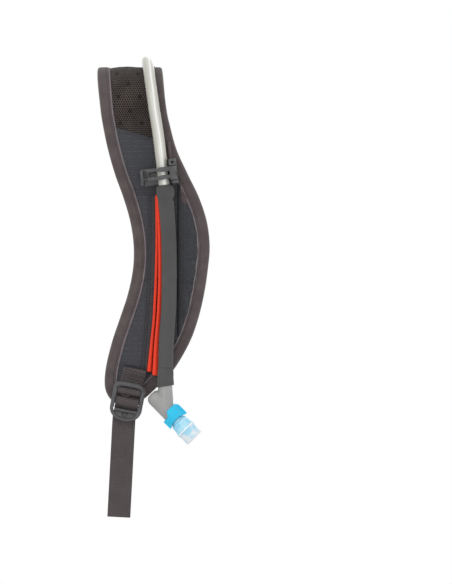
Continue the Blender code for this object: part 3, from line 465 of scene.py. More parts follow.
def make_paints():
    return {
        "binding": tape_paint("brown_woven_tape", BINDING_COLOUR, 0.9),
        "welt": tape_paint("pale_welt", (0.17, 0.145, 0.155), 0.8),
        # Each mesh's second colour is painted shade, near black, for its open cells and dimples.
        "mesh": mesh_paint("open_air_mesh", (0.115, 0.092, 0.082), (0.010, 0.007, 0.006)),
        "lining": mesh_paint("back_air_mesh", (0.060, 0.057, 0.055), (0.010, 0.009, 0.009), 2.6),
        "gather": tape_paint("brown_gathered_cloth", (0.078, 0.056, 0.056), 1.3),
        "ripstop": ripstop_paint("blue_grey_ripstop", RIPSTOP_COLOUR, RIPSTOP_LINE),
        "pocket": ripstop_paint("dark_stretch_woven", (0.045, 0.046, 0.052), (0.075, 0.077, 0.085), 2.4),
        "foam": plastic_paint("closed_cell_foam", (0.10, 0.10, 0.10), 0.9),
        "red": cord_paint("orange_red_piping", (0.88, 0.055, 0.018), (0.62, 0.022, 0.008)),
        "thread": tape_paint("dark_thread", (0.035, 0.032, 0.034), 0.6),
        "pale_thread": tape_paint("pale_thread", (0.20, 0.18, 0.185), 0.6),
        "brown_thread": tape_paint("brown_thread", (0.10, 0.068, 0.060), 0.6),
        "black_steel": plastic_paint("blackened_steel", (0.06, 0.06, 0.062), 0.35, 0.06, 0.0, 1.0),
        "steel": plastic_paint("bright_steel", (0.55, 0.55, 0.56), 0.3, 0.06, 0.0, 1.0),
        "tube": tube_paint("milky_tube"),
        "sleeve": knit_paint("charcoal_jersey", (0.072, 0.072, 0.073)),
        "hem": knit_paint("elastic_hem", (0.022, 0.022, 0.024), 0.8),
        "hard": plastic_paint("dark_acetal", (0.062, 0.062, 0.066), 0.42, 0.15, 0.15),
        "webbing": webbing_paint("herringbone_webbing", (0.108, 0.088, 0.090)),
        "anchor": webbing_paint("coarse_webbing", (0.108, 0.088, 0.090), 2.4),
        "elbow": plastic_paint("grey_elbow_plastic", (0.30, 0.30, 0.295), 0.36, 0.05, 0.2),
        "blue": plastic_paint("cyan_collar_plastic", (0.003, 0.50, 0.78), 0.35, 0.04, 0.1),
        "core": plastic_paint("pale_cyan_core", (0.10, 0.60, 0.85), 0.3, 0.04, 0.3),
        "silicone": silicone_paint("cloudy_silicone"),
        "rubber": plastic_paint("black_rubber", (0.03, 0.03, 0.03), 0.6),
    }


# Lines and places on the strap -------------------------------------------------------------------------------


def smooth_line(points, spacing):
    """A curve through the points, as Catmull and Rom draw it, at even spacing."""
    known = np.array(points, float)
    known = np.vstack([2 * known[0] - known[1], known, 2 * known[-1] - known[-2]])
    drawn = []
    for k in range(1, len(known) - 2):
        before, here, there, after = known[k - 1 : k + 3]
        for t in np.linspace(0, 1, 16, endpoint=False):
            bend = (2 * before - 5 * here + 4 * there - after) * t**2
            twist = (3 * here - before - 3 * there + after) * t**3
            drawn.append(0.5 * (2 * here + (there - before) * t + bend + twist))
    drawn.append(known[-2])
    drawn = np.array(drawn)
    run = run_along(drawn)
    count = max(2, int(round(run[-1] / spacing)) + 1)
    wanted = np.linspace(0, run[-1], count)
    return np.column_stack([np.interp(wanted, run, drawn[:, k]) for k in range(drawn.shape[1])])


def run_along(points):
    """The distance along a line of points, at each of them."""
    return np.concatenate([[0], np.cumsum(np.linalg.norm(np.diff(points, axis=0), axis=1))])


def at_depth(depth):
    return FRONT_START + REAR_LENGTH - CREST + depth


def on_strap(x, s, n):
    """Points in the frame, from places on the strap. Arrays of one shape, or numbers."""
    x, s, n = np.broadcast_arrays(np.asarray(x, float), s, n)
    turn = np.clip((s - REAR_LENGTH) / WRAP_RADIUS, 0, math.pi)
    along = np.minimum(s, REAR_LENGTH) - np.maximum(s - FRONT_START, 0)
    reach = WRAP_RADIUS + n
    return np.stack([x, reach * np.cos(turn) - WRAP_RADIUS, along + reach * np.sin(turn)], -1)


def strap_normal(s):
    turn = np.clip((np.asarray(s, float) - REAR_LENGTH) / WRAP_RADIUS, 0, math.pi)
    return np.stack([turn * 0, np.cos(turn), np.sin(turn)], -1)


def part_of(rows, start, end, spacing=2 * MM):
    """The stretch of a line of (depth, x, n) rows in millimetres between two depths, as rows of (x, s, n)."""
    line = smooth_line(np.array(rows) * MM, 1 * MM)
    depths = np.linspace(start, end, max(2, int(round((end - start) / spacing)) + 1))
    x = np.interp(depths, line[:, 0], line[:, 1])
    n = np.interp(depths, line[:, 0], line[:, 2])
    return np.column_stack([x, at_depth(depths), n])


def outline():
    rows = [*LEFT_EDGE, TIP, *reversed(RIGHT_EDGE)]
    return smooth_line([(x * MM, s * MM) for s, x in rows], 2 * MM)


OUTLINE = outline()
ALONG = np.gradient(OUTLINE, axis=0)
ALONG /= np.linalg.norm(ALONG, axis=1)[:, None]
INWARD = np.column_stack([ALONG[:, 1], -ALONG[:, 0]])


def edges_inset(inset):
    line = OUTLINE + INWARD * inset
    tip = int(np.argmax(line[:, 1]))
    left, right = line[: tip + 1], line[tip:][::-1]
    return (left[:, 1], left[:, 0]), (right[:, 1], right[:, 0])


PANEL_EDGES = edges_inset(PANEL_INSET)
OPEN_EDGES = edges_inset(BINDING_WIDTH)
PANEL_LAST = float(PANEL_EDGES[0][0][-1]) - 0.6 * MM


def across(edges, s):
    (left_s, left_x), (right_s, right_x) = edges
    return np.interp(s, left_s, left_x), np.interp(s, right_s, right_x)


def seam_at(name, x):
    """s of a seam at x."""
    depth, slope = SEAMS[name]
    return at_depth(depth) + slope * x


def ripple(x, s, size, seed):
    """Smooth noise between about -1 and 1 over the strap, with features of this size."""
    flat = [noise.noise(Vector((a / size, b / size, seed))) for a, b in zip(np.ravel(x), np.ravel(s))]
    return np.array(flat).reshape(np.shape(x)) * 1.6


def face_height(x, s):
    """How far the padded face stands out: it is crowned between the bindings and pulled in at the seams."""
    left, right = across(OPEN_EDGES, s)
    share = np.clip((x - left) / np.maximum(right - left, MM), 0, 1)
    crown = CROWN * (1 - np.abs(2 * share - 1) ** 2.6)
    pulled = np.zeros_like(crown)
    for name in SEAMS:
        pulled = np.maximum(pulled, np.exp(-(((s - seam_at(name, x)) / (1.5 * MM)) ** 2)))
    wavy = 0.28 * MM * ripple(x, s, 16 * MM, 3.0) + 0.10 * MM * ripple(x, s, 5 * MM, 8.0)
    return SKIN_OUT + 0.1 * MM + crown + wavy * crown / CROWN - 1.1 * MM * pulled


# Meshes ------------------------------------------------------------------------------------------------------


def turn_outwards(mesh):
    work = bmesh.new()
    work.from_mesh(mesh)
    bmesh.ops.recalc_face_normals(work, faces=work.faces)
    work.to_mesh(mesh)
    work.free()


def finished(name, mesh, paint, body, sharp=40):
    """An object from a mesh, with its faces turned outwards, that rides on a body."""
    turn_outwards(mesh)
    mesh.shade_smooth()
    mesh.set_sharp_from_angle(angle=math.radians(sharp))
    mesh.materials.clear()
    mesh.materials.append(PAINTS[paint])
    piece = bpy.data.objects.new(name, mesh)
    bpy.context.scene.collection.objects.link(piece)
    if body:
        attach(piece, body)
    return piece


def solid(name, loops, uv, paint, body, closed=False, sharp=40):
    """A skin through loops of points, capped at both ends, or closed into a ring of loops.

    uv has one more column than the loops, for the seam, and is in millimetres.
    """
    loops = np.asarray(loops, float)
    rows, around = loops.shape[:2]
    first = np.arange(rows if closed else rows - 1)[:, None]
    second = (first + 1) % rows
    here = np.arange(around)[None, :]
    there = (here + 1) % around
    ring, next_ring = first * around, second * around
    quads = np.stack([ring + here, ring + there, next_ring + there, next_ring + here], -1)
    faces = quads.reshape(-1, 4).tolist()
    corners = [uv[first, here], uv[first, here + 1], uv[second, here + 1], uv[second, here]]
    corner_uv = np.stack(corners, 2).reshape(-1, 2)
    if not closed:
        faces += [list(range(around))[::-1], list(range((rows - 1) * around, rows * around))]
        corner_uv = np.concatenate([corner_uv, uv[0, :around][::-1], uv[-1, :around]])
    mesh = bpy.data.meshes.new(name)
    mesh.from_pydata(loops.reshape(-1, 3).tolist(), [], faces)
    mesh.uv_layers.new(name="UVMap").data.foreach_set("uv", corner_uv.astype(np.float32).ravel())
    return finished(name, mesh, paint, body, sharp)


def section_uv(loops, start=0.0):
    """Distances in millimetres round each loop and along the loops."""
    loops = np.asarray(loops, float)
    ring = np.concatenate([loops[len(loops) // 2], loops[len(loops) // 2][:1]])
    around = run_along(ring) / MM
    along = (run_along(loops.mean(1)) + start) / MM
    uv = np.zeros((len(loops), len(around), 2))
    uv[..., 0] = around[None, :]
    uv[..., 1] = along[:, None]
    return uv


def frames(points, outward):
    """The unit vectors along, out and across at each point of a line."""
    points = np.asarray(points, float)
    along = np.gradient(points, axis=0)
    along /= np.linalg.norm(along, axis=1)[:, None]
    out = outward - np.sum(outward * along, axis=1)[:, None] * along
    out /= np.linalg.norm(out, axis=1)[:, None]
    return along, out, np.cross(out, along)


def swept(line, section):
    """Loops of a section of (across, out) along rows of (x, s, n). section is one for all, or one for each row."""
    points = on_strap(line[:, 0], line[:, 1], line[:, 2])
    _, out, over = frames(points, strap_normal(line[:, 1]))
    section = np.asarray(section, float)
    if section.ndim == 2:
        section = np.repeat(section[None], len(line), 0)
    return points[:, None] + over[:, None] * section[..., :1] + out[:, None] * section[..., 1:]


def circle(radius, sides=32):
    turns = np.linspace(0, 2 * math.pi, sides, endpoint=False)
    return np.column_stack([radius * np.cos(turns), radius * np.sin(turns)])


def rounded_ends(line, radius, steps=4):
    """Scales for a line's loops, so that its ends are domed, and the line with the extra rows."""
    first, last = line[0], line[-1]
    step_in = (line[1] - first) / np.linalg.norm(line[1] - first)
    step_out = (last - line[-2]) / np.linalg.norm(last - line[-2])
    turns = np.linspace(0.12, 1, steps, endpoint=False) * math.pi / 2
    head = [first - step_in * radius * math.cos(t) for t in turns]
    tail = [last + step_out * radius * math.cos(t) for t in turns[::-1]]
    scales = [*np.sin(turns), *np.ones(len(line)), *np.sin(turns[::-1])]
    return np.array([*head, *line, *tail]), np.array(scales)


def bored(outer, inner):
    """Loops of a tube's outside and then of its bore, to be closed into one solid."""
    return np.concatenate([outer, inner[::-1]])


def stitches(name, points, normals, paint, body, pitch=3.0 * MM, length=2.1 * MM, radius=0.28 * MM):
    """A row of raised thread stitches along a line."""
    points = np.asarray(points, float)
    run = run_along(points)

    def between(place, rows):
        return np.array([np.interp(place, run, rows[:, k]) for k in range(3)])

    middles = np.arange(pitch / 2, run[-1], pitch)
    shape = [(-0.5, 0.1), (-0.42, 0.7), (-0.2, 1.0), (0.2, 1.0), (0.42, 0.7), (0.5, 0.1)]
    vertices, faces = [], []
    for middle in middles:
        ends = [between(middle + side * length / 2, points) for side in (-1, 1)]
        out = between(middle, normals)
        along = ends[1] - ends[0]
        along /= np.linalg.norm(along)
        over = np.cross(out, along)
        first = len(vertices)
        for share, thick in shape:
            centre = (ends[0] + ends[1]) / 2 + along * share * length
            for turn in np.linspace(0, 2 * math.pi, 6, endpoint=False):
                vertices.append(centre + radius * thick * (over * math.cos(turn) + out * math.sin(turn)))
        for ring in range(len(shape) - 1):
            for k in range(6):
                a, b = first + ring * 6 + k, first + ring * 6 + (k + 1) % 6
                faces.append((a, b, b + 6, a + 6))
        faces.append(tuple(range(first + 5, first - 1, -1)))
        faces.append(tuple(range(first + 30, first + 36)))
    mesh = bpy.data.meshes.new(name)
    mesh.from_pydata([tuple(v) for v in vertices], [], faces)
    mesh.uv_layers.new(name="UVMap")
    return finished(name, mesh, paint, body, 60)


# The strap ---------------------------------------------------------------------------------------------------


def panel_grid(start, end, columns=56, spacing=1.5 * MM):
    """x and s over a panel between two seams. A seam is a name, or a plain s."""

    def line(seam, x):
        return seam_at(seam, x) if isinstance(seam, str) else np.full_like(x, seam)

    middle = np.zeros(1)
    length = float(line(end, middle)[0] - line(start, middle)[0])
    v = np.linspace(0, 1, max(4, int(length / spacing)))[:, None]
    u = np.linspace(0, 1, columns + 1)[None, :]
    s = np.repeat(v * length + line(start, middle)[0], columns + 1, 1)
    for _ in range(4):
        left, right = across(PANEL_EDGES, s)
        x = left + (right - left) * u
        s = np.clip(line(start, x) * (1 - v) + line(end, x) * v, 0, PANEL_LAST)
    return x, s


def shell(name, x, s, outside, inside, paint, body="strap"):
    """A closed skin over a grid of places, between two heights."""
    top = on_strap(x, s, outside)
    under = on_strap(x, s, inside)[:, ::-1]
    uv_top = np.stack([x, s], -1) / MM
    uv = np.concatenate([uv_top, uv_top[:, ::-1], uv_top[:, :1]], 1)
    return solid(name, np.concatenate([top, under], 1), uv, paint, body)


def dimples(x, s):
    """Round hollows on the staggered lattice that the mesh fabric's texture also has."""
    nearest = np.full(x.shape, 99.0)
    down = s / MM - DIMPLE_START[1]
    over = x / MM - DIMPLE_START[0] - DIMPLE_DRIFT * down
    for shift in (0.0, 0.5):
        a = (np.mod(over / DIMPLE_PITCH[0] + 0.5 + shift, 1) - 0.5) * DIMPLE_PITCH[0]
        b = (np.mod(down / DIMPLE_PITCH[1] + 0.5 + shift, 1) - 0.5) * DIMPLE_PITCH[1]
        nearest = np.minimum(nearest, np.hypot(a, b))
    return np.exp(-((nearest / 1.7) ** 2))


def make_panels():
    """The face of the strap: mesh over the shoulder, three ripstop panels, and one at the tip."""
    plan = [
        ("mesh_face", "mesh_panel", 0.0, "mesh", "mesh"),
        ("ripstop_face_upper", "ripstop_upper", "mesh", "upper", "ripstop"),
        ("ripstop_face_middle", "ripstop_middle", "upper", "middle", "ripstop"),
        ("ripstop_face_lower", "ripstop_lower", "middle", "lower", "ripstop"),
        ("tip_face", "tip_panel", "lower", PANEL_LAST, "ripstop"),
    ]
    for name, node, start, end, paint in plan:
        x, s = panel_grid(start, end)
        height = face_height(x, s)
        if paint == "mesh":
            height = height - 1.0 * MM * dimples(x, s)
        piece = shell(name, x, s, height, FOAM_HALF + 0.1 * MM, paint)
        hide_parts(node)
    for name, (depth, slope) in SEAMS.items():
        left, right = across(OPEN_EDGES, at_depth(depth))
        x = np.linspace(left, right, 60)
        for side, shift in (("a", -2.2 * MM), ("b", 2.2 * MM)):
            if name == "mesh" and side == "a":
                continue
            s = seam_at(name, x) + shift
            row = on_strap(x, s, face_height(x, s) + 0.05 * MM)
            sizes = (2.6 * MM, 1.9 * MM, 0.2 * MM)
            stitches(f"seam_thread_{name}_{side}", row, strap_normal(s), "thread", "strap", *sizes)


def make_padding():
    """The foam inside and the mesh lining against the body."""
    x, s = panel_grid(0.0, PANEL_LAST, 40, 3 * MM)
    foam = shell("padding", x, s, np.full_like(x, FOAM_HALF), np.full_like(x, -FOAM_HALF), "foam")
    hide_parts("foam_core")
    x, s = panel_grid(0.0, PANEL_LAST, 50, 2 * MM)
    left, right = across(OPEN_EDGES, s)
    share = np.clip((x - left) / np.maximum(right - left, MM), 0, 1)
    crown = 2.2 * MM * (1 - np.abs(2 * share - 1) ** 2.4)
    wavy = 0.35 * MM * ripple(x, s, 14 * MM, 21.0) * crown / (2.2 * MM)
    lining = shell("back_lining", x, s, np.full_like(x, -FOAM_HALF - 0.1 * MM), -SKIN_OUT - crown - wavy, "lining")
    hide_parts("back_mesh_lining")


def tape_section(width, out, thick):
    """The folded tape's section as (inward, n) points: its outside and then its inside."""
    turns = np.linspace(0, math.pi, 17)
    soft = 2.4 * MM
    bow = np.column_stack([
        soft - soft * np.sin(turns) ** 0.8 - 0.2 * MM * np.sin(turns) ** 4,
        out * np.sign(np.cos(turns)) * np.abs(np.cos(turns)) ** 0.5,
    ])
    flat = [
        (width - 0.15 * MM, out - 0.55 * thick), (width, out - 0.2 * thick), (width - 0.5 * MM, out),
        (width * 0.62, out + 0.12 * MM),
    ]
    outside = [*flat, *bow, *[(u, -n) for u, n in flat[::-1]]]
    hollow = [(u + thick * (1 if u < soft else 0), n * (out - thick) / out) for u, n in outside[4:-4]]
    inside = [(width - 0.2 * MM, thick - out), *hollow[::-1], (width - 0.2 * MM, out - thick)]
    return np.array([*outside, *inside])


def make_binding():
    """Tape folded over the edge, a welt along its inner side, and the row of stitches that holds it."""
    section = tape_section(BINDING_WIDTH, BINDING_OUT - 0.05 * MM, 0.9 * MM)
    puckers = 0.16 * MM * np.array([noise.noise(Vector((k * 0.55, 2.0, 5.0))) for k in range(len(OUTLINE))])
    u, n = section[:, 0], section[:, 1]
    x = OUTLINE[:, :1] + INWARD[:, :1] * u
    s = OUTLINE[:, 1:] + INWARD[:, 1:] * u
    swell = 1 + puckers[:, None] / BINDING_OUT * (np.abs(n) > 4 * MM)
    loops = on_strap(x, s, n * swell)
    tape = solid("binding_tape", loops, section_uv(loops), "binding", "strap", sharp=50)
    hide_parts("edge_binding")
    for name, inset, side in (("front", WELT_INSET, 1), ("back", WELT_INSET, -1)):
        x = OUTLINE[:, 0] + INWARD[:, 0] * inset
        s = OUTLINE[:, 1] + INWARD[:, 1] * inset
        n = side * (face_height(x, s) + 0.25 * MM if side > 0 else np.full_like(x, SKIN_OUT + 0.5 * MM))
        points = on_strap(x, s, n)
        _, out, over = frames(points, strap_normal(s))
        ring = circle(0.85 * MM, 12)
        loops = points[:, None] + over[:, None] * ring[None, :, :1] + out[:, None] * ring[None, :, 1:]
        welt = solid(f"binding_welt_{name}", loops, section_uv(loops), "welt" if side > 0 else "binding", "strap")
        x = OUTLINE[:, 0] + INWARD[:, 0] * 7.4 * MM
        s = OUTLINE[:, 1] + INWARD[:, 1] * 7.4 * MM
        row = on_strap(x, s, side * (BINDING_OUT + 0.05 * MM))
        sizes = (3.2 * MM, 2.2 * MM, 0.22 * MM)
        stitches(f"binding_stitches_{name}", row, strap_normal(s) * side, "thread", "strap", *sizes)


def make_yoke_end():
    """Tape folded over the end that is sewn into the yoke."""
    left, right = across(edges_inset(0.0), 0.0)
    x = np.linspace(left + 0.5 * MM, right - 0.5 * MM, 40)
    section = tape_section(11 * MM, BINDING_OUT + 0.9 * MM, 0.8 * MM)
    u, n = section[:, 0] - 0.3 * MM, section[:, 1]
    loops = on_strap(np.repeat(x[:, None], len(u), 1), np.maximum(u, -1 * MM)[None, :], n[None, :])
    tape = solid("yoke_end_tape", loops, section_uv(loops), "binding", "strap", sharp=50)
    for side, name in ((-1, "back"), (1, "front")):
        row = on_strap(x, 7.5 * MM, side * (BINDING_OUT + 0.95 * MM))
        stitches(f"yoke_stitches_{name}", row, strap_normal(x * 0) * side, "thread", "strap")


def make_pocket():
    """The stretch pocket: gathered cloth between the tube and the right binding, with an elastic hem."""
    depths = np.linspace(102 * MM, 232 * MM, 120)
    s = np.repeat(at_depth(depths)[:, None], 41, 1)
    _, right = across(edges_inset(BINDING_WIDTH + 1.2 * MM), s)
    start = 24.6 * MM
    u = np.linspace(0, 1, 41)[None, :]
    x = start + (np.maximum(right, start + 2 * MM) - start) * u
    gather = np.exp(-(((1 - u) / 0.35) ** 2))
    folds = 0.85 * MM * np.sin(s / (2.6 * MM) + 2.4 * ripple(x, s, 20 * MM, 11.0)) * gather
    slack = 0.75 * MM * ripple(x, s, 9 * MM, 31.0) + 0.3 * MM * ripple(x, s, 4 * MM, 12.0)
    ends = np.clip(np.minimum(depths - depths[0], depths[-1] - depths) / (6 * MM), 0, 1)[:, None]
    bulge = 1.0 * MM * np.sin(math.pi * np.clip(u, 0, 1)) ** 0.6
    height = face_height(x, s) + 0.35 * MM + (bulge + folds + slack * (0.35 + gather)) * ends
    height = np.minimum(height, 8.6 * MM)
    piece = shell("pocket_cloth", x, s, height, height - 0.6 * MM, "pocket")
    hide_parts("stretch_pocket")
    line = np.column_stack([np.full(120, 24.5 * MM), s[:, 0], height[:, 0] + 0.1 * MM])
    loops = swept(line, circle(0.8 * MM, 16) * np.array([1.2, 0.8]))
    hem = solid("pocket_elastic", loops, section_uv(loops), "hem", "strap")
    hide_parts("pocket_hem")


def make_gather():
    """The brown cloth that is gathered into the pocket's top corner, and the pale bar tack above it."""
    s, u = np.meshgrid(at_depth(np.linspace(96 * MM, 118.5 * MM, 60)), np.linspace(0, 1, 31), indexing="ij")
    v = (s - s[0, 0]) / (s[-1, 0] - s[0, 0])
    left = 25.4 * MM + 0.8 * MM * v
    _, edge = across(edges_inset(WELT_INSET + 0.6 * MM), s)
    right = np.maximum(np.minimum(edge, 33.4 * MM), left + 1.2 * MM)
    x = left + (right - left) * u
    mound = np.sin(math.pi * u) ** 0.6 * np.sin(math.pi * np.clip(v, 0, 1)) ** 0.4
    folds = np.sin(x / (1.15 * MM) + 2.2 * ripple(x, s, 9 * MM, 17.0)) * (0.3 + 0.7 * v)
    face = face_height(x, s)
    height = face + 0.6 * MM + mound * (1.9 * MM + 0.42 * MM * folds) + 0.2 * MM * ripple(x, s, 4 * MM, 5.0)
    piece = shell("gathered_cloth", x, s, np.minimum(height, 9.4 * MM), face - 0.3 * MM, "gather")
    x = np.linspace(17.4 * MM, 20.8 * MM, 8)
    s = np.full(8, at_depth(77.5 * MM))
    tack = on_strap(x, s, face_height(x, s) + 0.9 * MM)
    stitches("bar_tack", tack, strap_normal(s), "pale_thread", "strap", 1.1 * MM, 1.2 * MM, 0.42 * MM)


def piping_radius(line):
    """The piping's radius at each row of (x, s, n)."""
    depths, radii = np.array(PIPING_SWELL).T * MM
    return np.interp(line[:, 1] - at_depth(0), depths, radii)


def make_dock():
    """The strip under the sleeve, its stitched margin, and the strap's red piping."""
    line = part_of(DOCK_LINE, 114 * MM, 256 * MM)
    half = 6.6 * MM
    u = np.linspace(-half, half, 15)
    x = line[:, :1] + u[None, :]
    s = np.repeat(line[:, 1:2], 15, 1)
    crown = 7.4 * MM - 0.8 * MM * (np.abs(u) / half)[None, :] ** 4 + 0 * x
    dock = shell("dock_face", x, s, crown, np.full_like(x, 5.2 * MM), "ripstop")
    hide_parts("dock_strip")
    rows = part_of(STRAP_PIPING_LINE, 112 * MM, 262 * MM)
    u = np.linspace(-8.0 * MM, 0.6 * MM, 21)
    x = rows[:, :1] + u[None, :]
    s = np.repeat(rows[:, 1:2], 21, 1)
    rounded = np.clip((u + 8.0 * MM) / (1.2 * MM), 0, 1) ** 0.5
    gutter = np.exp(-(((u + 4.6 * MM) / (0.5 * MM)) ** 2))
    rise = np.clip((u + 3 * MM) / (3 * MM), 0, 1)
    raised = 0.35 * MM + 0.75 * MM * rounded + 0.4 * MM * rise - 0.45 * MM * gutter
    height = face_height(x, s) + raised[None, :] + 0.15 * MM * ripple(x, s, 7 * MM, 41.0)
    margin = shell("dock_margin", x, s, height, height - 0.9 * MM, "pocket")
    for number, (inset, paint, thick) in enumerate([(-7.4, "thread", 0.22), (-3.1, "brown_thread", 0.42)]):
        x = rows[:, 0] + inset * MM
        row = on_strap(x, rows[:, 1], face_height(x, rows[:, 1]) + (1.1 + 0.1 * number) * MM)
        normals = strap_normal(rows[:, 1])
        stitches(f"dock_thread_{number + 1}", row, normals, paint, "strap", 2.5 * MM, 1.5 * MM, thick * MM)
    line, scales = rounded_ends(part_of(STRAP_PIPING_LINE, 112 * MM, 262 * MM, 1.5 * MM), PIPING_RADIUS)
    loops = swept(line, circle(1, 20)[None] * (scales * piping_radius(line))[:, None, None])
    piping = solid("dock_piping", loops, section_uv(loops), "red", "strap")
    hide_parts("strap_piping")


def make_keepers():
    """Elastic loops that hold the tube on the back of the strap."""
    for number, (start, x) in enumerate([(10 * MM, -0.5 * MM), (62 * MM, -2.0 * MM)]):
        middle, foot = 11.9 * MM, BINDING_OUT + 0.35 * MM
        clear, thick = TUBE_RADIUS + 0.3 * MM, 1.1 * MM
        turns = np.linspace(0, math.pi, 25)
        inner = [(clear * math.cos(t), middle + clear * math.sin(t)) for t in turns]
        outer = [((clear + thick) * math.cos(t), middle + (clear + thick) * math.sin(t)) for t in turns]
        low = [(clear + 1.6 * MM, foot + thick * 1.3), (10 * MM, foot + thick), (10 * MM, foot)]
        section = [*low[::-1], *outer, *[(-a, b) for a, b in low], *[(-clear, foot)], *inner[::-1], (clear, foot)]
        section = np.array(section)
        s = np.linspace(start, start + 14 * MM, 15)
        loops = on_strap(x + section[None, :, 0], s[:, None], section[None, :, 1])
        keeper = solid(f"tube_keeper_{number + 1}", loops, section_uv(loops), "webbing", "strap")
        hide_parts(f"hose_keeper_{number + 1}")
        for side, hand in ((-1, "left"), (1, "right")):
            row_s = np.linspace(start + 1 * MM, start + 13 * MM, 12)
            row = on_strap(x + side * 8.6 * MM, row_s, foot + thick + 0.05 * MM)
            name = f"keeper_thread_{number + 1}_{hand}"
            stitches(name, row, strap_normal(row_s), "thread", "strap")


# The tube and its sleeve -------------------------------------------------------------------------------------


def make_tube_run():
    """The tube from the keeper at the yoke, over the shoulder and through the clip, to the first bend."""
    upper = [(x * MM, s * MM, n * MM) for x, s, n in TUBE_RUN]
    lower = part_of(TUBE_LINE, 72 * MM, BEND_DEPTHS[0] - 9 * MM, 10 * MM)
    line = smooth_line([*upper, *lower], 2 * MM)
    loops = swept(line, circle(TUBE_RADIUS))
    inner = swept(line, circle(TUBE_BORE))
    whole = bored(loops, inner)
    tube = solid("tube_over_shoulder", whole, section_uv(whole), "tube", "strap", closed=True)
    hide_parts("tube_strap_run")


def sleeve_half(depth):
    """The sleeve's half width: full at the top under its turned rim, and flared at the hem."""
    top = 1.2 * MM * np.exp(-(((depth - 108 * MM) / (9 * MM)) ** 2))
    hem = 0.5 * MM / (1 + np.exp(-(depth - 262 * MM) / (1.0 * MM)))
    flare = 0.4 * MM * np.clip((depth - 268 * MM) / (7 * MM), 0, 1)
    rim = 1.7 * MM * np.clip((105.5 * MM - depth) / (3 * MM), 0, 1) ** 2
    return 6.65 * MM + top + hem + flare - rim


def sleeve_sections(depths):
    """The knitted sleeve's section at each depth, with its creases: flat at the back, where the magnets are."""
    turns = np.linspace(0, 2 * math.pi, 48, endpoint=False)
    half = sleeve_half(depths)[:, None]
    front = 6.4 * MM + (half - 6.75 * MM) * 0.6
    crease = 0.55 * MM * np.exp(-(((depths - 115.0 * MM) / (1.3 * MM)) ** 2))[:, None]
    crease = crease * (1 + np.cos(turns))[None, :]
    soft = np.array([
        [noise.noise(Vector((math.cos(t) * 1.2, math.sin(t) * 1.2, d / (7 * MM)))) for t in turns] for d in depths
    ])
    slack = 0.42 * MM * soft * np.exp(-(((depths - 112 * MM) / (16 * MM)) ** 2))[:, None] + 0.14 * MM * soft
    cosine, sine = np.cos(turns)[None, :], np.sin(turns)[None, :]
    over = half - 0.45 * MM * (cosine < 0)
    x = np.where(sine >= 0, over * cosine, over * np.sign(cosine) * np.abs(cosine) ** 0.6)
    y = np.where(sine >= 0, front * sine, -8.2 * MM * np.abs(sine) ** 0.6)
    size = 1 + (slack - crease) / (6.7 * MM)
    return np.stack([x * size, y * size], -1)


def bend_spans():
    """(first depth, last depth, body before, body after) of each stretch that crosses one joint."""
    middles = [(a + b) / 2 for a, b in zip(BEND_DEPTHS, BEND_DEPTHS[1:])]
    bodies = ["strap", *[f"hose_{k + 1}" for k in range(len(BEND_DEPTHS))]]
    starts = [SLEEVE_TOP, *middles]
    ends = [*middles, BEND_DEPTHS[-1] + 15 * MM]
    return list(zip(starts, ends, bodies, bodies[1:]))


def blend_along(piece, start, end):
    """Looks up the sleeve line's places at two depths, which nothing uses, and bakes the piece's transform into
    its mesh.
    """
    first = part_of(TUBE_LINE, start, start + MM, MM)[0]
    last = part_of(TUBE_LINE, end, end + MM, MM)[0]
    tuple(on_strap(*first))
    tuple(on_strap(*last))
    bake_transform(piece)


def sleeve_stretch(name, start, end, body=None):
    """A length of the sleeve. Its lining widens at the hem, and the hem runs down to the left."""
    line = part_of(TUBE_LINE, start, end, 1.2 * MM)
    depths = line[:, 1] - at_depth(0)
    outer = swept(line, sleeve_sections(depths))
    turns = np.linspace(0, 2 * math.pi, 48, endpoint=False)
    open_by = 1.3 * MM * np.clip((depths - 271.5 * MM) / (1.2 * MM), 0, 1)[:, None]
    behind = np.where(np.sin(turns) < 0, 1.9 * MM, 0)[None, :]
    reach = 5.2 * MM + behind + np.minimum(open_by, 1.3 * MM - behind * 0.5)
    inner = swept(line, np.stack([(5.2 * MM + open_by) * np.cos(turns), reach * np.sin(turns)], -1))
    for loops in (outer, inner):
        slope = HEM_SLOPE * np.clip((depths - 262 * MM) / (13 * MM), 0, 1)[:, None]
        loops[..., 2] += slope * (loops[..., 0] - line[:, :1])
    whole = bored(outer, inner)
    return solid(name, whole, section_uv(whole, start), "sleeve", body, closed=True)


def tube_stretch(name, start, end, body=None):
    line = part_of(TUBE_LINE, start, end, 1.5 * MM)
    whole = bored(swept(line, circle(TUBE_RADIUS)), swept(line, circle(TUBE_BORE)))
    return solid(name, whole, section_uv(whole, start), "tube", body, closed=True)


def piping_stretch(name, start, end, body=None, end_round=False):
    rows = part_of(TUBE_LINE, start, end, 1.5 * MM)
    places, sides = np.array(PIPING_SIDE).T * MM
    aside = np.interp(rows[:, 1] - at_depth(0), places, sides)
    line = np.column_stack([rows[:, 0] - aside, rows[:, 1], np.full(len(rows), PIPING_N)])
    scales = np.ones(len(line))
    if end_round:
        line, scales = rounded_ends(line, PIPING_RADIUS)
        line, scales = line[4:], scales[4:]
    turns = np.linspace(0, 2 * math.pi, 20, endpoint=False)
    bead = circle(1, 20)
    near = np.cos(turns) > 0.75
    bead[near] = bead[near] * np.array([1.5, 0.55])
    loops = swept(line, bead[None] * (scales * piping_radius(line))[:, None, None])
    return solid(name, loops, section_uv(loops, start), "red", body)


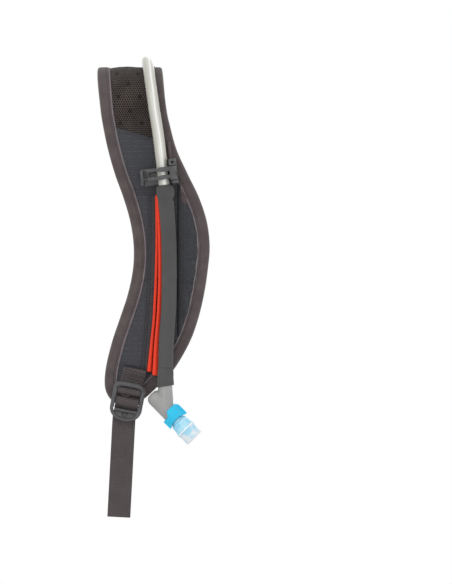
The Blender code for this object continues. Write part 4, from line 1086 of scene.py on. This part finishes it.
def make_sleeve():
    """The sleeve, the tube in it and its red piping, in stretches that each cross one joint."""
    for number, (start, end, before, after) in enumerate(bend_spans(), 1):
        sleeve = sleeve_stretch(f"sleeve_bend_{number}", start, end)
        tube = tube_stretch(f"tube_bend_{number}", max(start, 104.2 * MM), end)
        piping = piping_stretch(f"piping_bend_{number}", max(start, 112.5 * MM), end)
        for piece in (sleeve, tube, piping):
            blend_along(piece, max(start, 105 * MM), end)
        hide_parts(f"sleeve_{number}", *(["sleeve_top"] if number == 1 else []))
        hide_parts(f"tube_{number}")
        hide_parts(f"sleeve_piping_{number}")
    last = bend_spans()[-1][1]
    end = sleeve_stretch("sleeve_hem_length", last, SLEEVE_END, "hose_5")
    tube_stretch("tube_hem_length", last, SLEEVE_END - 4 * MM, "hose_5")
    piping_stretch("piping_hem_length", last, 265 * MM, "hose_5", True)
    rows = part_of(TUBE_LINE, 259.6 * MM, 260.6 * MM, MM)
    depths = rows[:1, 1] - at_depth(0)
    short = np.vstack([rows[0], rows[0] + [0, 0.1 * MM, 0]])
    ring = swept(short, sleeve_sections(np.repeat(depths, 2)) * 1.012)[0]
    ring = np.vstack([ring, ring[:1]])
    centre = ring.mean(0)
    normals = (ring - centre) / np.linalg.norm(ring - centre, axis=1)[:, None]
    stitches("sleeve_hem_thread", ring, normals, "thread", "hose_5", 2.0 * MM, 1.4 * MM, 0.2 * MM)


def make_free_lead():
    """The rest of the tube behind the strap, folded once and tied, up to its plug."""
    route = smooth_line([(0.0, y * MM, z * MM) for y, z in LEAD_ROUTE], 3 * MM)
    curve = bpy.data.curves.new("free_lead", "CURVE")
    curve.dimensions = "3D"
    curve.bevel_depth = TUBE_RADIUS
    curve.bevel_resolution = 6
    curve.use_fill_caps = True
    spline = curve.splines.new("POLY")
    spline.points.add(len(route) - 1)
    for place, point in zip(spline.points, route):
        place.co = (*point, 1)
    curve.materials.append(PAINTS["tube"])
    lead = bpy.data.objects.new("free_lead", curve)
    bpy.context.scene.collection.objects.link(lead)
    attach(lead, "strap")
    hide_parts("tube_free_lead")


# The webbing -------------------------------------------------------------------------------------------------


def buckle_matrix():
    place = Vector(on_strap(BUCKLE_PLACE[0], at_depth(BUCKLE_PLACE[1]), BUCKLE_PLACE[2]).tolist())
    return Matrix.Translation(place) @ Matrix.Rotation(math.radians(BUCKLE_LEAN), 4, "Y")


def hang_matrix():
    start = buckle_matrix() @ Vector((0, 0, HANG_START - 0.3 * MM))
    return Matrix.Translation(start) @ Matrix.Rotation(math.radians(HANG_LEAN), 4, "Y")


def strip(name, path, paint, body, width=WEBBING_WIDTH, thick=WEBBING_THICKNESS):
    """Webbing along frame points, as wide as stated along the buckle's bar, with rounded selvedges."""
    points = np.asarray(path, float)
    over = np.array(buckle_matrix().to_3x3() @ Vector((1, 0, 0)))
    along = np.gradient(points, axis=0)
    along /= np.linalg.norm(along, axis=1)[:, None]
    out = np.cross(along, over[None, :])
    out /= np.linalg.norm(out, axis=1)[:, None]
    side = np.cross(out, along)
    half, rim = width / 2, thick / 2
    cols = np.linspace(-half + rim, half - rim, 25)
    cap = np.linspace(math.pi / 2, -math.pi / 2, 7)
    section = [(c, rim) for c in cols]
    section += [(half - rim + rim * math.cos(t), rim * math.sin(t)) for t in cap[1:-1]]
    section += [(c, -rim) for c in cols[::-1]]
    section += [(-half + rim - rim * math.cos(t), rim * math.sin(t)) for t in cap[::-1][1:-1]]
    section = np.array(section)
    loops = points[:, None] + side[:, None] * section[None, :, :1] + out[:, None] * section[None, :, 1:]
    run = run_along(points) / MM
    uv = np.zeros((len(points), len(section) + 1, 2))
    uv[..., 0] = np.append(section[:, 0], section[0, 0])[None, :] / MM
    uv[..., 1] = run[:, None]
    return solid(name, loops, uv, paint, body, sharp=60)


def from_buckle(rows, matrix, slant=0.0):
    """Frame points of rows of (out, up) in millimetres in the buckle's or the hanging webbing's own plane.

    Above the buckle's top bar they lean to the right by slant for each unit up.
    """
    return np.array([
        matrix @ Vector((slant * max(0.0, up - ANCHOR_BAR - 4) * MM, -out * MM, up * MM)) for out, up in rows
    ])


def make_webbing():
    place, hang = buckle_matrix(), hang_matrix()
    reach = (BAR_RADIUS + WEBBING_THICKNESS / MM / 2) + 0.3
    top = ANCHOR_BAR
    lean = reach * math.sqrt(0.5)
    anchor = [
        (-3.3, 28.6), (-3.2, 22), (-3.2, 16), (-2.7, 13.4), (0, top + reach + 0.1), (lean, top + lean),
        (reach, top), (lean, top - lean), (0, top - reach), (-lean, top - lean), (-reach - 0.1, top),
        (-4.6, 12.4), (-5.3, 16), (-5.3, 27),
    ]
    anchor_line = smooth_line(from_buckle(anchor, place, ANCHOR_SLANT), 0.8 * MM)
    anchor_piece = strip("anchor_strap", anchor_line, "anchor", "strap")
    fold = [(-4.6, 28.9), (-3.3, 29.0), (-2.2, 28.5), (-1.75, 26.5), (-1.75, 24.6), (-2.1, 23.2)]
    fold_line = smooth_line(from_buckle(fold, place, ANCHOR_SLANT), 0.5 * MM)
    strip("anchor_fold", fold_line, "anchor", "strap", thick=1.0 * MM)
    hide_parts("anchor_webbing")
    bar = ADJUST_BAR
    loop = [
        (LOAD_OUT, -12), (LOAD_OUT, -7), (LOAD_OUT + 1, -3), (-reach, bar), (-lean, bar + lean),
        (0, bar + reach), (lean, bar + lean), (reach, bar), (lean, -1.6), (-0.4, -3.9), (-2.9, -6.2),
        (TAIL_OUT, -9.5), (TAIL_OUT, -12),
    ]
    length = (hang.translation.z - (CREST - 388 * MM)) / math.cos(math.radians(HANG_LEAN)) / MM
    tail = [(TAIL_OUT, -4), (TAIL_OUT, -0.35 * length), (TAIL_OUT, -0.7 * length), (TAIL_OUT, -length)]
    load = [(LOAD_OUT, 2 - length), (LOAD_OUT, -0.6 * length), (LOAD_OUT, -4)]
    route = np.vstack([from_buckle(load, hang), from_buckle(loop, place), from_buckle(tail, hang)])
    piece = strip("adjusting_webbing", smooth_line(route, 0.9 * MM), "webbing", None)
    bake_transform(piece)
    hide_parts("adjust_webbing", "webbing_tail", "webbing_load")
    normal = np.array(place.to_3x3() @ Vector((0, -1, 0)))
    for number, (height, out) in enumerate([(26.6, -1.15), (24.4, -1.15), (20.4, -2.6)]):
        row = []
        for across_it in np.linspace(-8.7, 8.7, 24):
            up = height - ANCHOR_SLANT * across_it
            aside = across_it + ANCHOR_SLANT * (height - ANCHOR_BAR - 4)
            row.append(place @ Vector((aside * MM, -out * MM, up * MM)))
        normals = np.repeat(normal[None], 24, 0)
        sizes = (2.0 * MM, 1.7 * MM, 0.32 * MM)
        stitches(f"anchor_thread_{number + 1}", np.array(row), normals, "thread", "strap", *sizes)


# The hard parts ----------------------------------------------------------------------------------------------


def box_shape(low, high, matrix):
    """A box between two corners, in millimetres in a matrix's axes, as points and faces."""
    xs, ys, zs = zip(low, high)
    points = [matrix @ Vector((x, y, z)) for z in zs for y in ys for x in xs]
    return points, [(0, 1, 3, 2), (4, 6, 7, 5), (0, 4, 5, 1), (2, 3, 7, 6), (0, 2, 6, 4), (1, 5, 7, 3)]


def prism_shape(corners, near, far, matrix):
    """A flat shape of (x, z) corners between two y, in millimetres in a matrix's axes."""
    count = len(corners)
    points = [matrix @ Vector((x, y, z)) for y in (near, far) for x, z in corners]
    sides = [(k, (k + 1) % count, (k + 1) % count + count, k + count) for k in range(count)]
    return points, [tuple(range(count))[::-1], tuple(range(count, 2 * count)), *sides]


def ring_faces(rings, sides):
    """The faces of a skin over rings of points, with a cap at each end."""
    faces = []
    for ring in range(rings - 1):
        for k in range(sides):
            a, b = ring * sides + k, ring * sides + (k + 1) % sides
            faces.append((a, b, b + sides, a + sides))
    last = (rings - 1) * sides
    return [*faces, tuple(range(sides))[::-1], tuple(range(last, last + sides))]


def lathe_shape(profile, matrix, sides=64):
    """A solid of revolution about a matrix's z, through (radius, z) in millimetres, with flat ends."""
    points = []
    for radius, z in profile:
        points += [matrix @ Vector((x, y, z)) for x, y in circle(radius, sides)]
    return points, ring_faces(len(profile), sides)


def bar_shape(line, radius, matrix, sides=20):
    """A round bar along points near an XZ plane, in millimetres."""
    line = np.array(line, float)
    along = np.gradient(line, axis=0)
    along /= np.linalg.norm(along, axis=1)[:, None]
    over = np.cross(along, [0, 1, 0])
    over /= np.linalg.norm(over, axis=1)[:, None]
    out = np.cross(along, over)
    ring = circle(radius, sides)
    loops = line[:, None] + over[:, None] * ring[None, :, :1] + out[:, None] * ring[None, :, 1:]
    points = [matrix @ Vector(point) for point in loops.reshape(-1, 3)]
    return points, ring_faces(len(line), sides)


def node_shape(name):
    """A CAD node's own points and faces."""
    mesh = NODES[name].data
    return [v.co.copy() for v in mesh.vertices], [tuple(p.vertices) for p in mesh.polygons]


def rough_object(name, shapes):
    """One object of several closed shapes, which may overlap."""
    vertices, faces = [], []
    for points, polygons in shapes:
        faces += [tuple(k + len(vertices) for k in polygon) for polygon in polygons]
        vertices += [tuple(point) for point in points]
    mesh = bpy.data.meshes.new(name)
    mesh.from_pydata(vertices, [], faces)
    turn_outwards(mesh)
    piece = bpy.data.objects.new(name, mesh)
    bpy.context.scene.collection.objects.link(piece)
    return piece


def millimetres(matrix):
    """A matrix that takes millimetres."""
    return matrix @ Matrix.Scale(MM, 4)


def fused(name, node, paint, shapes, cuts=(), voxel=0.28 * MM, rounds=6):
    """Shapes, and a CAD node's own if shapes is None, run together as one moulding with softened edges."""
    if shapes is None:
        piece = bpy.data.objects.new(name, NODES[node].data.copy())
        bpy.context.scene.collection.objects.link(piece)
    else:
        piece = rough_object(name, shapes)
    cutter = rough_object(f"{name}_cutter", cuts) if cuts else None
    if cutter:
        union = piece.modifiers.new("union", "REMESH")
        union.mode = "VOXEL"
        union.voxel_size = voxel
        change = piece.modifiers.new("cut", "BOOLEAN")
        change.operation = "DIFFERENCE"
        change.solver = "EXACT"
        change.object = cutter
        change.use_self = True
    remesh = piece.modifiers.new("remesh", "REMESH")
    remesh.mode = "VOXEL"
    remesh.voxel_size = voxel
    soften = piece.modifiers.new("soften", "SMOOTH")
    soften.factor = 0.5
    soften.iterations = rounds
    final = bpy.data.meshes.new_from_object(piece.evaluated_get(bpy.context.evaluated_depsgraph_get()))
    piece.modifiers.clear()
    piece.data = final
    final.name = name
    final.shade_smooth()
    final.materials.clear()
    final.materials.append(PAINTS[paint])
    if cutter:
        bpy.data.objects.remove(cutter)
    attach(piece, NODES[node]["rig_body"])
    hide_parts(node)
    return piece


def slider_matrix():
    """From the slider's own axes to the frame: x across, y back, z up along the tube."""
    x, s, n = part_of(TUBE_LINE, 93 * MM, 94 * MM)[0]
    place = Vector(on_strap(x, s, n).tolist())
    return millimetres(Matrix.Translation(place) @ Matrix.Rotation(math.radians(-6.6), 4, "Y"))


def valve_matrix():
    """From the valve's own axes to the frame. z runs out of its mouth."""
    x, s, n = part_of(TUBE_LINE, 275 * MM, 276 * MM)[-1]
    place = Vector(on_strap(x, at_depth(294 * MM), n).tolist())
    return millimetres(Matrix.Translation(place) @ Matrix.Rotation(math.radians(90 + 45.6), 4, "Y"))


def make_clip():
    """The gate, with two notched arms and a hook bar, and the bracket that it hinges on."""
    place = slider_matrix()
    shapes = [
        box_shape((-18.7, -7.8, -2.8), (-17.0, -4.2, 4.9), place),
        box_shape((-18.3, -5.6, 1.4), (-16.8, 2.8, 5.2), place),
        box_shape((-18.3, -5.6, -5.6), (-16.8, 2.8, -2.2), place),
        box_shape((-17.8, -6.9, 4.1), (-13.0, -5.5, 5.1), place),
        box_shape((-17.8, -6.9, -3.6), (-12.6, -5.5, -2.7), place),
        box_shape((-14.2, -7.2, 2.6), (0.5, -5.4, 5.1), place),
        box_shape((-13.4, -7.2, -4.9), (0.5, -5.4, -1.8), place),
        box_shape((-3.2, -7.7, 1.8), (8.0, -5.3, 5.8), place),
        box_shape((-3.2, -7.7, -4.4), (8.0, -5.3, -1.2), place),
    ]
    cover = [(6.1, 5.8), (11.0, 5.8), (11.0, -6.1), (7.6, -6.1), (6.1, -4.6)]
    shapes.append(prism_shape(cover, -9.5, -8.5, place))
    shapes.append(box_shape((6.1, -9.2, 1.2), (10.6, -5.3, 5.8), place))
    shapes.append(box_shape((6.1, -9.2, -6.1), (10.6, -5.3, -2.5), place))
    for x in (6.4, 10.6):
        shapes.append(bar_shape([(x, -9.3, 5.3), (x, -9.3, 0), (x, -9.3, -4.4)], 0.45, place))
    for x, low, high in ((-12.8, 2.3, 5.4), (-7.4, 2.3, 5.4), (-12.2, -5.2, -1.5), (-7.0, -5.2, -1.5)):
        shapes.append(box_shape((x - 0.8, -7.8, low), (x + 0.8, -6.2, high), place))
    pin = place @ Matrix.Translation((9.2, -6.4, 0))
    for low, high in ((1.0, 5.8), (-6.1, -2.5)):
        shapes.append(lathe_shape([(2.3, low), (2.3, high)], pin))
    bore = lathe_shape([(1.15, -9), (1.15, 9)], pin)
    gate = fused("clip_hook", "clip_gate", "hard", shapes, [bore], 0.24 * MM, 4)
    cuts = [
        prism_shape([(9.2 + a, 9.0 + b) for a, b in circle(1.15, 20)], -12, -5.0, place),
        box_shape((5.5, -9.9, -2.5), (13.2, -3.7, 1.0), place),
        prism_shape([(-11.5, -1.6), (-4.5, -1.6), (-4.5, 2.2), (-11.5, 2.2)], -12, 9.0, place),
        prism_shape([(5.0, 14), (5.0, 9.6), (7.4, 13.4), (7.4, 14)], -12, 2.0, place),
        prism_shape([(11.0, 14), (13.4, 10.4), (13.4, 14)], -12, 2.0, place),
        prism_shape([(5.0, -12), (8.0, -12), (7.2, -6.9), (5.0, -6.4)], -12, 2.0, place),
    ]
    upper = [(5.9, 6.4), (5.9, 8.9), (7.6, 12.3), (11.2, 12.3), (12.6, 9.4), (12.6, 6.4)]
    lower = [(8.0, -6.7), (12.6, -6.7), (12.6, -9.2), (9.6, -9.2)]
    shapes = [node_shape("slider_base")]
    shapes += [prism_shape(upper, -9.5, -8.6, place), prism_shape(lower, -9.5, -8.6, place)]
    base = fused("slider_bracket", "slider_base", "hard", shapes, cuts, 0.26 * MM, 4)


def make_buckle():
    """The ladder-lock buckle, with a round arch, and a thumb plate that has a rim, a hollow and a notch."""
    place = millimetres(buckle_matrix())
    cuts = [prism_shape([(-11.0, -6.2), (-9.6, -6.2), (-9.2, -9.0), (-10.4, -8.6)], -4, 4, place)]
    turns = np.linspace(math.radians(200), math.radians(340), 15)
    hollow = [(10.6 * math.cos(t), -6.8 + 7.4 * math.sin(t)) for t in turns]
    cuts.append(prism_shape(hollow, -4, -0.7, place))
    cuts.append(prism_shape([(-2.8, -9.9), (2.8, -9.9), (1.4, -13.2), (-1.4, -13.2)], -4, 0.9, place))
    arch = []
    for turn in np.linspace(0, math.pi, 21):
        rise = math.sin(turn)
        x = math.copysign(abs(math.cos(turn)) ** 0.6, math.cos(turn))
        arch.append((12.0 * x, -2.2 * rise, 9.6 + 5.4 * rise**0.6))
    shapes = [bar_shape(arch, 2.1, place)]
    for side in (-1, 1):
        rail = [(side * 12.0, -0.6, 11), (side * 12.1, -0.9, 2), (side * 12.1, -1.0, -7)]
        shapes.append(bar_shape(rail, 1.75, place))
    shapes.append(node_shape("ladder_buckle"))
    shapes.append(box_shape((9.95, -1.5, -8.0), (11.8, 1.5, -1.5), place))
    turns = np.linspace(math.pi * 1.01, math.pi * 1.99, 25)
    shapes.append(bar_shape([(12.3 * math.cos(t), -1.2, -6 + 9.4 * math.sin(t)) for t in turns], 1.5, place))
    lip = [(x, -2.4 + 0.004 * x * x, -7.7 + 0.004 * x * x) for x in (-10, -6, -3, 0, 3, 6, 10)]
    shapes.append(bar_shape(lip, 1.1, place))
    frame_piece = fused("buckle_frame", "ladder_buckle", "hard", shapes, cuts, 0.26 * MM, 6)


def make_elbow():
    """The elbow: an upright arm and a round-ended body across it."""
    valve = valve_matrix()
    body = [
        (1.0, -17.1), (3.4, -16.9), (5.0, -16.2), (6.2, -15.0), (7.0, -13.4), (7.3, -11.8), (7.3, 7.4),
        (5.35, 7.4), (5.35, 9.2), (7.3, 9.2), (7.3, 12.0), (6.9, 12.3),
    ]
    upright = millimetres(Matrix.Translation(valve.translation))
    arm = [(7.0, 0), (6.9, 8), (6.4, 14), (6.2, 17), (6.2, 21.4), (2.5, 22.0), (2.5, 28)]
    shapes = [lathe_shape(body, valve), lathe_shape(arm, upright)]
    elbow = fused("elbow", "elbow_body", "elbow", shapes, (), 0.24 * MM, 5)
    profile = [
        (4.6, 14.95), (6.55, 14.5), (6.6, 16.1), (7.5, 16.5), (7.8, 17.2), (8.0, 19.0), (8.2, 21.5), (8.6, 23.3),
        (9.3, 24.3), (9.6, 25.0), (9.4, 25.7), (8.8, 26.2), (8.5, 27.2), (8.3, 29.5), (8.4, 32.5), (8.6, 34.6),
        (8.5, 35.6), (8.1, 36.2), (7.4, 36.4), (2.0, 36.2), (1.6, 33.4), (4.0, 32.4), (4.5, 30.4),
    ]
    rings = []
    for turn in np.linspace(0, 2 * math.pi, 72, endpoint=False):
        rings.append([valve @ Vector((r * math.cos(turn), r * math.sin(turn), z)) for r, z in profile])
    uv = np.zeros((72, len(profile) + 1, 2))
    uv[..., 1] = np.array([z for _, z in [*profile, profile[0]]])[None, :]
    body = NODES["bite_valve"]["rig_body"]
    valve_piece = solid("bite_mouthpiece", np.array(rings), uv, "silicone", body, closed=True)
    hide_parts("bite_valve")


def make_collar():
    """The twist collar: open at one side where it clears the elbow, saddled in front, with a tab to turn it by."""
    valve = valve_matrix()
    shapes = [
        lathe_shape([(8.4, 2.9), (8.9, 3.4), (9.1, 8), (9.0, 15.4), (8.7, 16.0)], valve),
        box_shape((-10.5, -3.4, 6.4), (-7.5, 3.4, 16.0), valve),
        box_shape((-10.0, -3.4, 4.6), (-7.5, 3.4, 7.0), valve),
        box_shape((7.5, -3.4, 7.6), (9.5, 3.4, 16.0), valve),
    ]
    saddle = [
        (12, 18), (9.6, 17.0), (7.9, 16.1), (6.7, 14.9), (4.4, 13.7), (1.5, 13.2), (-1.1, 13.2), (-4.0, 13.7),
        (-6.5, 14.9), (-8.2, 15.8), (-12, 17.5),
    ]
    cuts = [
        lathe_shape([(6.8, 0), (6.8, 19)], valve),
        prism_shape(saddle, -12, 12, valve),
        prism_shape([(1.0, 0), (1.0, 2.9), (4.0, 7.3), (13, 7.5), (13, 0)], -12, 12, valve),
    ]
    fused("collar", "twist_collar", "blue", shapes, cuts, 0.24 * MM, 5)


def make_hard_parts():
    make_clip()
    make_buckle()
    make_elbow()
    make_collar()
    for name, node, paint, slot in (
        ("valve_stem", "valve_core", "core", "collar"),
        ("plug_shell", "quick_plug", "hard", "hard_black"),
    ):
        fused(name, node, paint, None)


def paint_cad_nodes():
    """Materials for the CAD nodes that are kept."""
    paints = {
        "clip_pin": "black_steel", "elbow_oring": "rubber", "plug_oring": "rubber", "quick_plug": "hard",
        "hose_tie": "rubber", "piping_rail": "binding",
    }
    for name, node in NODES.items():
        if node.hide_render:
            continue
        paint = "steel" if "magnet" in name else paints.get(name)
        if paint is None:
            print("no paint for", name)
            continue
        node.data.materials.clear()
        node.data.materials.append(PAINTS[paint])


make_stage()
PAINTS = make_paints()
make_padding()
make_panels()
make_binding()
make_yoke_end()
make_pocket()
make_gather()
make_dock()
make_keepers()
make_tube_run()
make_sleeve()
make_webbing()
make_hard_parts()
make_free_lead()
paint_cad_nodes()
